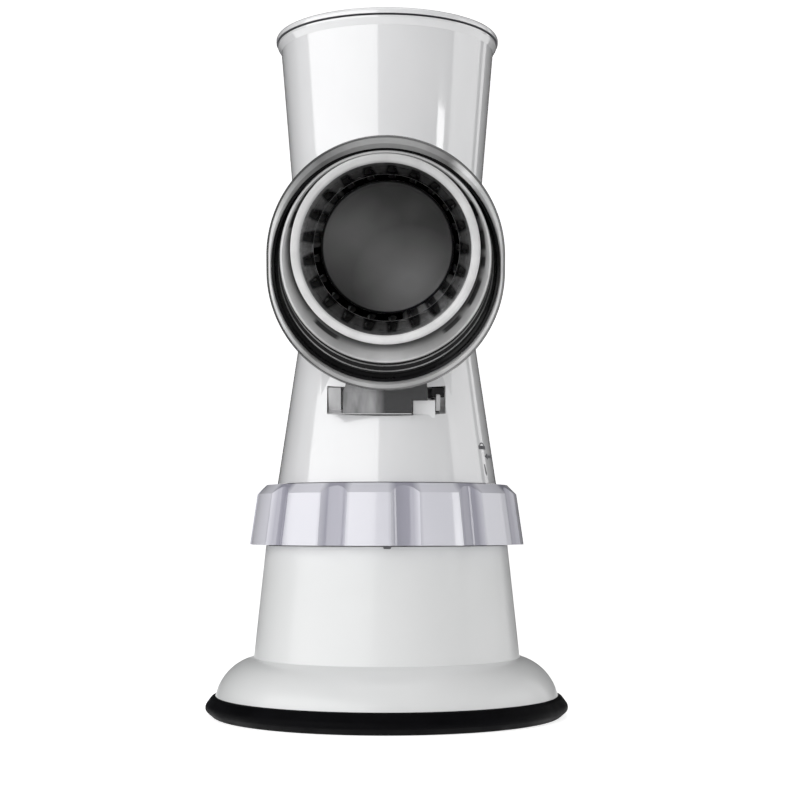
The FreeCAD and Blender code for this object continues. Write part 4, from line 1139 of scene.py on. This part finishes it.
@dataclass
class Drum:
    """Shredding drum: slotted shell with raised blades, mouth ring, end disc and hub."""

    front: float = 74.2
    back: float = -22.0
    front_bore: float = 28.8
    back_bore: float = 26.2
    wall: float = 0.8
    columns: int = 21
    rows: tuple[float, ...] = (38.4, 1.0)
    slot_length: float = 33.0
    slot_width: float = 3.0
    slot_taper: float = 0.35
    bead: float = 19.5
    bead_depth: float = 0.5
    bead_width: float = 2.4
    lap: int = 28
    plain_back: float = 4.0
    plain_front: float = 2.0
    blade_across: int = 5
    blade_along: int = 8
    blade_wall: float = 0.45
    blade_rise: float = 1.55
    disc_face: float = -20.6
    mouth_back: float = 57.0
    mouth_front: float = 76.2

    def bore(self, station: float) -> float:
        """Inside radius of the shell, with the bead drawn in.

        Args:
            station: Station along the axis.

        Returns:
            The radius.
        """
        slope = (self.front_bore - self.back_bore) / (self.front - self.back)
        plain = self.front_bore - slope * (self.front - station)
        offset = (station - self.bead) / (self.bead_width / 2)
        return plain - self.bead_depth * max(0.0, 1.0 - offset * offset)

    def slot_edge(self, middle: float, share: float) -> Point:
        """Point of a slot's outline, a teardrop that is wider at its back.

        Args:
            middle: Station of the slot's middle.
            share: Way round the outline, 0 to 1.

        Returns:
            Distance across and station.
        """
        angle = 2 * math.pi * share
        along = math.cos(angle)
        width = self.slot_width / 2 * (1.0 - self.slot_taper * along)
        flat = math.copysign(abs(math.sin(angle)) ** 0.7, math.sin(angle))
        reach = math.copysign(abs(along) ** 0.8, along)
        return width * flat, middle + self.slot_length / 2 * reach

    def cell_edge(self, low: float, high: float, share: float, pitch: float) -> Point:
        """Point of the frame round one slot, matched to the slot's own outline.

        Args:
            low: Station of the frame's back.
            high: Station of its front.
            share: Way round the outline, 0 to 1.
            pitch: Distance between slots round the shell.

        Returns:
            Distance across and station.
        """
        angle = 2 * math.pi * share
        across, along = math.sin(angle), math.cos(angle)
        scale = 1.0 / max(abs(across), abs(along))
        middle = (low + high) / 2
        return across * scale * pitch / 2, middle + along * scale * (high - low) / 2

    def cell(self, middle: float, ends: Point, column: int, blend: float) -> Loop:
        """Ring of points between a slot's outline and the frame round it.

        Args:
            middle: Station of the slot's middle.
            ends: Stations of the frame's back and front.
            column: Number of the slot's column.
            blend: Way from the outline to the frame, 0 to 1.

        Returns:
            The points.
        """
        pitch = 2 * math.pi * self.bore(middle) / self.columns
        ring = []
        for step in range(self.lap):
            inner = self.slot_edge(middle, step / self.lap)
            outer = self.cell_edge(*ends, step / self.lap, pitch)
            station = inner[1] + (outer[1] - inner[1]) * blend
            across = inner[0] + (outer[0] - inner[0]) * blend
            radius = self.bore(station)
            angle = 2 * math.pi * column / self.columns + across * radius / self.bore(middle) / radius
            ring.append(around(radius, angle, station))
        return ring

    def shell(self) -> None:
        """Shell with its slots, drawn cell by cell and thickened outwards."""
        half = self.bead_width / 2
        rear, top = self.back + self.plain_back, self.rows[0] + self.slot_length / 2 + self.plain_front
        verts: Loop = []
        faces: list[Face] = []
        for middle, ends in zip(reversed(self.rows), ((rear, self.bead - half), (self.bead + half, top))):
            for column in range(self.columns):
                lay(verts, faces, [self.cell(middle, ends, column, blend) for blend in (0.0, 0.5, 1.0)])
        for low, high, count in ((self.back, rear, 2), (self.bead - half, self.bead + half, 8), (top, self.front, 6)):
            stations = [low + (high - low) * row / count for row in range(count + 1)]
            lay(verts, faces, [circle(self.bore(station), station, self.columns * 8) for station in stations])
        piece = drawn("shell_steel", verts, faces, Place.DRUM)
        skin = piece.modifiers.new("wall", "SOLIDIFY")
        skin.thickness = self.wall * MM
        skin.offset = self.outward(piece)
        dress(piece, Look.DRUM_STEEL, "drum", "drum_steel", "drum_shell")

    def outward(self, piece: bpy.types.Object) -> float:
        """Solidify offset that thickens the shell away from its axis.

        Args:
            piece: The shell.

        Returns:
            1 or -1.
        """
        outside = 0
        for face in piece.data.polygons:
            centre = face.center
            outside += 1 if centre.x * face.normal.x + centre.y * face.normal.y > 0 else -1
        return 1.0 if outside > 0 else -1.0

    def blade(self, middle: float, column: int, layer: float) -> Loop:
        """Grid of points over one side of a blade, row by row.

        Args:
            middle: Station of its slot's middle.
            column: Number of its column.
            layer: Thickness at the root, 0 for the side that faces the slot.

        Returns:
            The points.
        """
        grid = []
        for along in range(self.blade_along + 1):
            share = along / self.blade_along
            station = middle - self.slot_length / 2 + 0.8 + (self.slot_length - 1.6) * share
            arch = math.sin(math.pi * share) ** 0.5
            for across in range(self.blade_across + 1):
                way = across / self.blade_across
                offset = self.slot_width / 2 + 0.2 - (self.slot_width - 0.6) * way
                rise = 0.15 + self.blade_rise * way * arch
                radius = self.bore(station) + rise + layer * (1 - 0.6 * way)
                grid.append(around(radius, 2 * math.pi * column / self.columns + offset / radius, station))
        return grid

    def blades(self) -> None:
        """Blades that rise over the slots on the outside."""
        verts: Loop = []
        faces: list[Face] = []
        wide, rows = self.blade_across, self.blade_along
        width = wide + 1
        size = width * (rows + 1)
        rim = [*range(width), *(row * width + wide for row in range(1, rows + 1)),
               *(rows * width + across for across in range(wide - 1, -1, -1)),
               *(row * width for row in range(rows - 1, 0, -1))]
        for middle in self.rows:
            for column in range(self.columns):
                start = len(verts)
                verts += self.blade(middle, column, 0.0) + self.blade(middle, column, self.blade_wall)
                for first in (start + row * width + across for row in range(rows) for across in range(wide)):
                    quad = (first, first + 1, first + 1 + width, first + width)
                    faces += [quad, tuple(corner + size for corner in reversed(quad))]
                edge = [start + corner for corner in rim]
                faces += band(edge, [corner + size for corner in edge])
        # the blades' inner side carries painted shade
        dress(drawn("shell_blades", verts, faces, Place.DRUM), Look.BLADE_STEEL, "drum", "drum_steel")

    def mouth(self) -> None:
        """Satin ring on the front of the shell, its grey painted by angle as light and shade."""
        inner, back, front = self.front_bore, self.mouth_back, self.mouth_front
        outline = rounded([
            (inner, 74.3, 0.2), (inner, front - 0.7, 0.5), (29.5, front, 0.6), (31.1, front, 0.6),
            (31.8, front - 0.7, 0.6), (32.2, back, 0.3), (29.4, back, 0.2), (29.75, 74.3, 0.2)])
        dress(turned("mouth_ring", outline, Place.DRUM, segments=192), Look.SATIN, "drum", "satin_white",
              "drum_mouth_ring")

    def end(self) -> None:
        """Disc that closes the shell, slightly dished, with painted light patches and painted shadow at its rim, and
        the hub behind it.
        """
        edge, back, face = self.back_bore - 0.1, self.back, self.disc_face
        outline = rounded([(0.0, back, 0), (edge, back, 0.2), (edge, face, 0.3), (edge - 1.2, face + 0.1, 0.4),
                           (edge - 2.0, face - 0.2, 0.5), (0.0, face - 0.1, 0)], closed=False)
        dress(turned("end_disc", outline, Place.DRUM, closed=False), Look.DISC_STEEL, "drum", "plate_steel",
              "drum_end_plate")
        refinish(Look.HUB_SATIN, "drum_hub")

    def build(self) -> None:
        """Draw every piece of the drum."""
        self.shell()
        self.blades()
        self.mouth()
        self.end()


@dataclass
class Housings:
    """White mouldings and the lock ring, which keep their CAD shapes, and the printed marks."""

    cone_radius: float = 40.9
    cone_foot: float = 85.2
    cone_slope: float = 0.1465
    print_lift: float = 0.05
    pointer_depth: float = 44.98

    def mark(self, name: str, turn: float, height: float, patches: Sequence[Sequence[Point]]) -> None:
        """Printed mark on the cone.

        Args:
            name: Object name.
            turn: Angle of the mark's middle from the front towards the right, in degrees.
            height: Height of its middle.
            patches: Small outlines of (along the surface, up) that make the mark, in millimetres.
        """
        verts: Loop = []
        faces: list[Face] = []
        for patch in patches:
            start, count = len(verts), len(patch)
            rings = []
            for layer in (-self.print_lift, self.print_lift):
                ring = []
                for along, up in patch:
                    radius = self.cone_radius - self.cone_slope * (height + up - self.cone_foot) + layer
                    ring.append(around(radius, math.radians(turn - 90.0) + along / radius, height + up))
                rings.append(ring)
            faces.append(tuple(range(start, start + count)))
            faces.append(tuple(range(start + 2 * count - 1, start + count - 1, -1)))
            lay(verts, faces, rings)
        dress(drawn(name, verts, faces), Look.PRINT_AND_SHADOW, "housing", "body_white")

    def strip(self, left: float, right: float, low: float, high: float) -> list[list[Point]]:
        """Bar cut into short patches so that it follows the cone.

        Args:
            left: Its left end along the surface.
            right: Its right end.
            low: Its lower edge, from the mark's middle.
            high: Its upper edge.

        Returns:
            The patches.
        """
        count = max(1, round((right - left) / 0.8))
        stops = [left + (right - left) * step / count for step in range(count + 1)]
        return [[(first, low), (second, low), (second, high), (first, high)]
                for first, second in zip(stops, stops[1:])]

    def bow(self, wide: float, tall: float, thick: float, foot: float) -> list[list[Point]]:
        """Half hoop of a lock sign, as short patches.

        Args:
            wide: Half of its width.
            tall: Its height.
            thick: Thickness of its band.
            foot: Height that it stands at, from the mark's middle.

        Returns:
            The patches.
        """
        ring = []
        for step in range(9):
            angle = math.pi * step / 8
            ring.append(((wide * math.cos(angle), foot + tall * math.sin(angle)),
                         ((wide - thick) * math.cos(angle), foot + (tall - thick) * math.sin(angle))))
        return [[first[0], second[0], second[1], first[1]] for first, second in zip(ring, ring[1:])]

    def marks(self) -> None:
        """Lock sign, arrow and tick by the ring, and the pointer under it."""
        self.mark("mark_lock", 63.4, 98.3, self.strip(-2.9, 2.9, -0.7, 0.6) + self.bow(2.0, 1.3, 0.45, 0.5))
        self.mark("mark_arrow", 67.8, 95.1, [[(-1.7, 0.0), (1.3, -1.2), (1.3, 1.2)]]
                  + self.strip(1.9, 6.5, -0.5, 0.5))
        self.mark("mark_tick", 63.8, 90.0, [[(-0.6, 2.1), (0.0, 2.1), (0.9, -1.2), (0.4, -2.1), (-0.2, -1.2)]])
        pointer = [(-0.7, 61.75, 0.1), (1.6, 61.75, 0.1), (1.9, 62.45, 0.1), (-1.0, 62.45, 0.1)]
        piece = pillar("mark_pointer", pointer, 0.0, 0.35, Place.UPRIGHT, 0.0)
        upright = Matrix.Rotation(math.radians(90), 4, "X")
        piece.matrix_world = Matrix.Translation((0, -self.pointer_depth * MM, 0)) @ upright
        dress(piece, Look.PRINT_AND_SHADOW, "housing", "body_white")

    def build(self) -> None:
        """Dress the mouldings and print the marks."""
        refinish(Look.WHITE, "upper_housing")
        refinish(Look.FOOT_WHITE, "lower_housing")
        # the lock ring's grooves carry painted shade from its finish
        refinish(Look.RING_WHITE, "lock_ring")
        self.marks()


@dataclass
class Works:
    """Crank, grip, bush and the lifting gear, which keep their CAD shapes."""

    mouldings: tuple[str, ...] = ("crank_arm", "grip", "grip_cap")
    steel: tuple[str, ...] = ("crank_shaft", "crank_washer", "crank_screw", "grip_pin", "housing_screws", "lift_pins",
                              "cup_stud", "stud_washer", "stud_nut")
    nylon: tuple[str, ...] = ("rear_bush", "lift_spider")
    seal: str = "shaft_seal"

    def build(self) -> None:
        """Dress the works."""
        refinish(Look.WHITE, *self.mouldings)
        refinish(Look.BRIGHT_STEEL, *self.steel)
        refinish(Look.NYLON, *self.nylon)
        refinish(Look.RUBBER, self.seal)


# ---------------------------------------------------------------- studio

@dataclass
class Studio:
    """Floor, world, lamps and camera."""

    lens: float = 75.06
    camera_place: Corner = (0.0049, -0.626, 0.0699)
    camera_pitch: float = 4.3
    air_front: float = 0.54
    air_back: float = 0.20
    floor_side: float = 4.0
    floor_gap: float = 0.05

    def floor(self) -> None:
        """Wide pale sheet that curves up far behind."""
        profile = [(-3.0, 0.0), (2.0, 0.0), (2.6, 0.15), (3.0, 0.6), (3.1, 2.6)]
        verts = [(side / MM, along / MM, up / MM - self.floor_gap) for along, up in profile
                 for side in (-self.floor_side, self.floor_side)]
        faces = [(low, low + 1, low + 3, low + 2) for low in range(0, len(verts) - 2, 2)]
        sheet = drawn("studio_floor", verts, faces)
        sheet.data.materials.append(StudioPaper("studio_paper", (0.86, 0.86, 0.86)).build())

    def card(self, name: str, middle: Sequence[float], size: Point, turn: float) -> None:
        """Dark card beside the object, seen only in its gloss.

        Args:
            name: Object name.
            middle: Middle of the card, in metres.
            size: Width and height, in metres.
            turn: Turn about Z, in degrees.
        """
        half, tall = (part / 2 / MM for part in size)
        piece = drawn(name, [(-half, 0, -tall), (half, 0, -tall), (half, 0, tall), (-half, 0, tall)], [(0, 1, 2, 3)])
        piece.matrix_world = Matrix.Translation(middle) @ Matrix.Rotation(math.radians(turn), 4, "Z")
        piece.data.materials.append(Rubber("card_black", (0.02, 0.02, 0.02), (0.03, 0.03, 0.03), 0.8).build())
        piece.visible_camera = False
        piece.visible_diffuse = False
        piece.visible_shadow = False
        piece.visible_transmission = False

    def lamp(self, name: str, place: Sequence[float], aim: Sequence[float], size: Point, power: float,
             mirrored: bool = True) -> None:
        """Soft rectangular lamp.

        Args:
            name: Lamp name.
            place: Where it stands, in metres.
            aim: Point that it looks at.
            size: Width and height, in metres.
            power: Power in watts.
            mirrored: Whether it shows in glossy surfaces.
        """
        light = bpy.data.lights.new(name, "AREA")
        light.shape = "RECTANGLE"
        light.size, light.size_y = size
        light.energy = power
        holder = bpy.data.objects.new(name, light)
        holder.location = place
        holder.rotation_euler = (Vector(aim) - Vector(place)).to_track_quat("-Z", "Y").to_euler()
        holder.visible_glossy = mirrored
        bpy.context.scene.collection.objects.link(holder)

    def world(self) -> None:
        """Pale surroundings: white where they are seen, and softer light from behind than from before."""
        world = bpy.data.worlds.new("studio_air")
        sheet = NodeSheet(world, "World")
        way = Wire(sheet, sheet.add("TexCoord").outputs["Generated"])
        soft = way.parts()[1].spread(self.air_front, self.air_back, -0.9, 0.5)
        level = sheet.rays("Camera", "Transmission").spread(soft, 1.0, 0.0, 1.0)
        sheet.end(sheet.node("Background", Color=(1.0, 1.0, 1.0), Strength=level))
        bpy.context.scene.world = world

    def camera(self) -> None:
        """Camera at the eye height of a low table shot."""
        data = bpy.data.cameras.new("studio_camera")
        data.lens = self.lens
        data.sensor_width = 36.0
        data.clip_start = 0.01
        holder = bpy.data.objects.new("studio_camera", data)
        holder.location = self.camera_place
        holder.rotation_euler = (math.radians(90 + self.camera_pitch), 0.0, 0.0)
        bpy.context.scene.collection.objects.link(holder)
        bpy.context.scene.camera = holder

    def build(self) -> None:
        """Set the whole studio."""
        self.floor()
        self.world()
        self.card("card_left", (-0.28, 0.34, 0.20), (0.46, 0.7), 45.0)
        self.card("card_right", (0.20, 0.36, 0.20), (0.30, 0.7), -40.0)
        self.lamp("panel_left", (-0.81, -0.68, 0.34), (0, 0, 0.16), (1.8, 0.9), 8.4)
        self.lamp("softbox_right", (0.82, -0.42, 0.265), (0, 0, 0.2), (0.15, 0.10), 0.18)
        self.lamp("panel_right", (1.0, 0.12, 0.25), (0, 0, 0.16), (0.8, 0.7), 1.7)
        self.lamp("softbox_top", (0.0, -0.1, 1.0), (0, 0, 0.12), (0.6, 0.6), 1.1)
        self.lamp("softbox_front", (0.16, -1.0, 0.06), (0, 0, 0.17), (0.35, 0.25), 1.3, False)
        self.camera()


def main() -> None:
    """Build the shredder, then the studio."""
    logging.basicConfig(level=logging.INFO, format="%(message)s")
    bpy.context.scene.view_settings.view_transform = "Standard"
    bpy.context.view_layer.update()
    for assembly in (SuctionFoot(), Pusher(), Collar(), Drum(), Housings(), Works()):
        log.info("assembly %s", type(assembly).__name__)
        assembly.build()
    Studio().build()


if __name__ == "__main__":
    main()
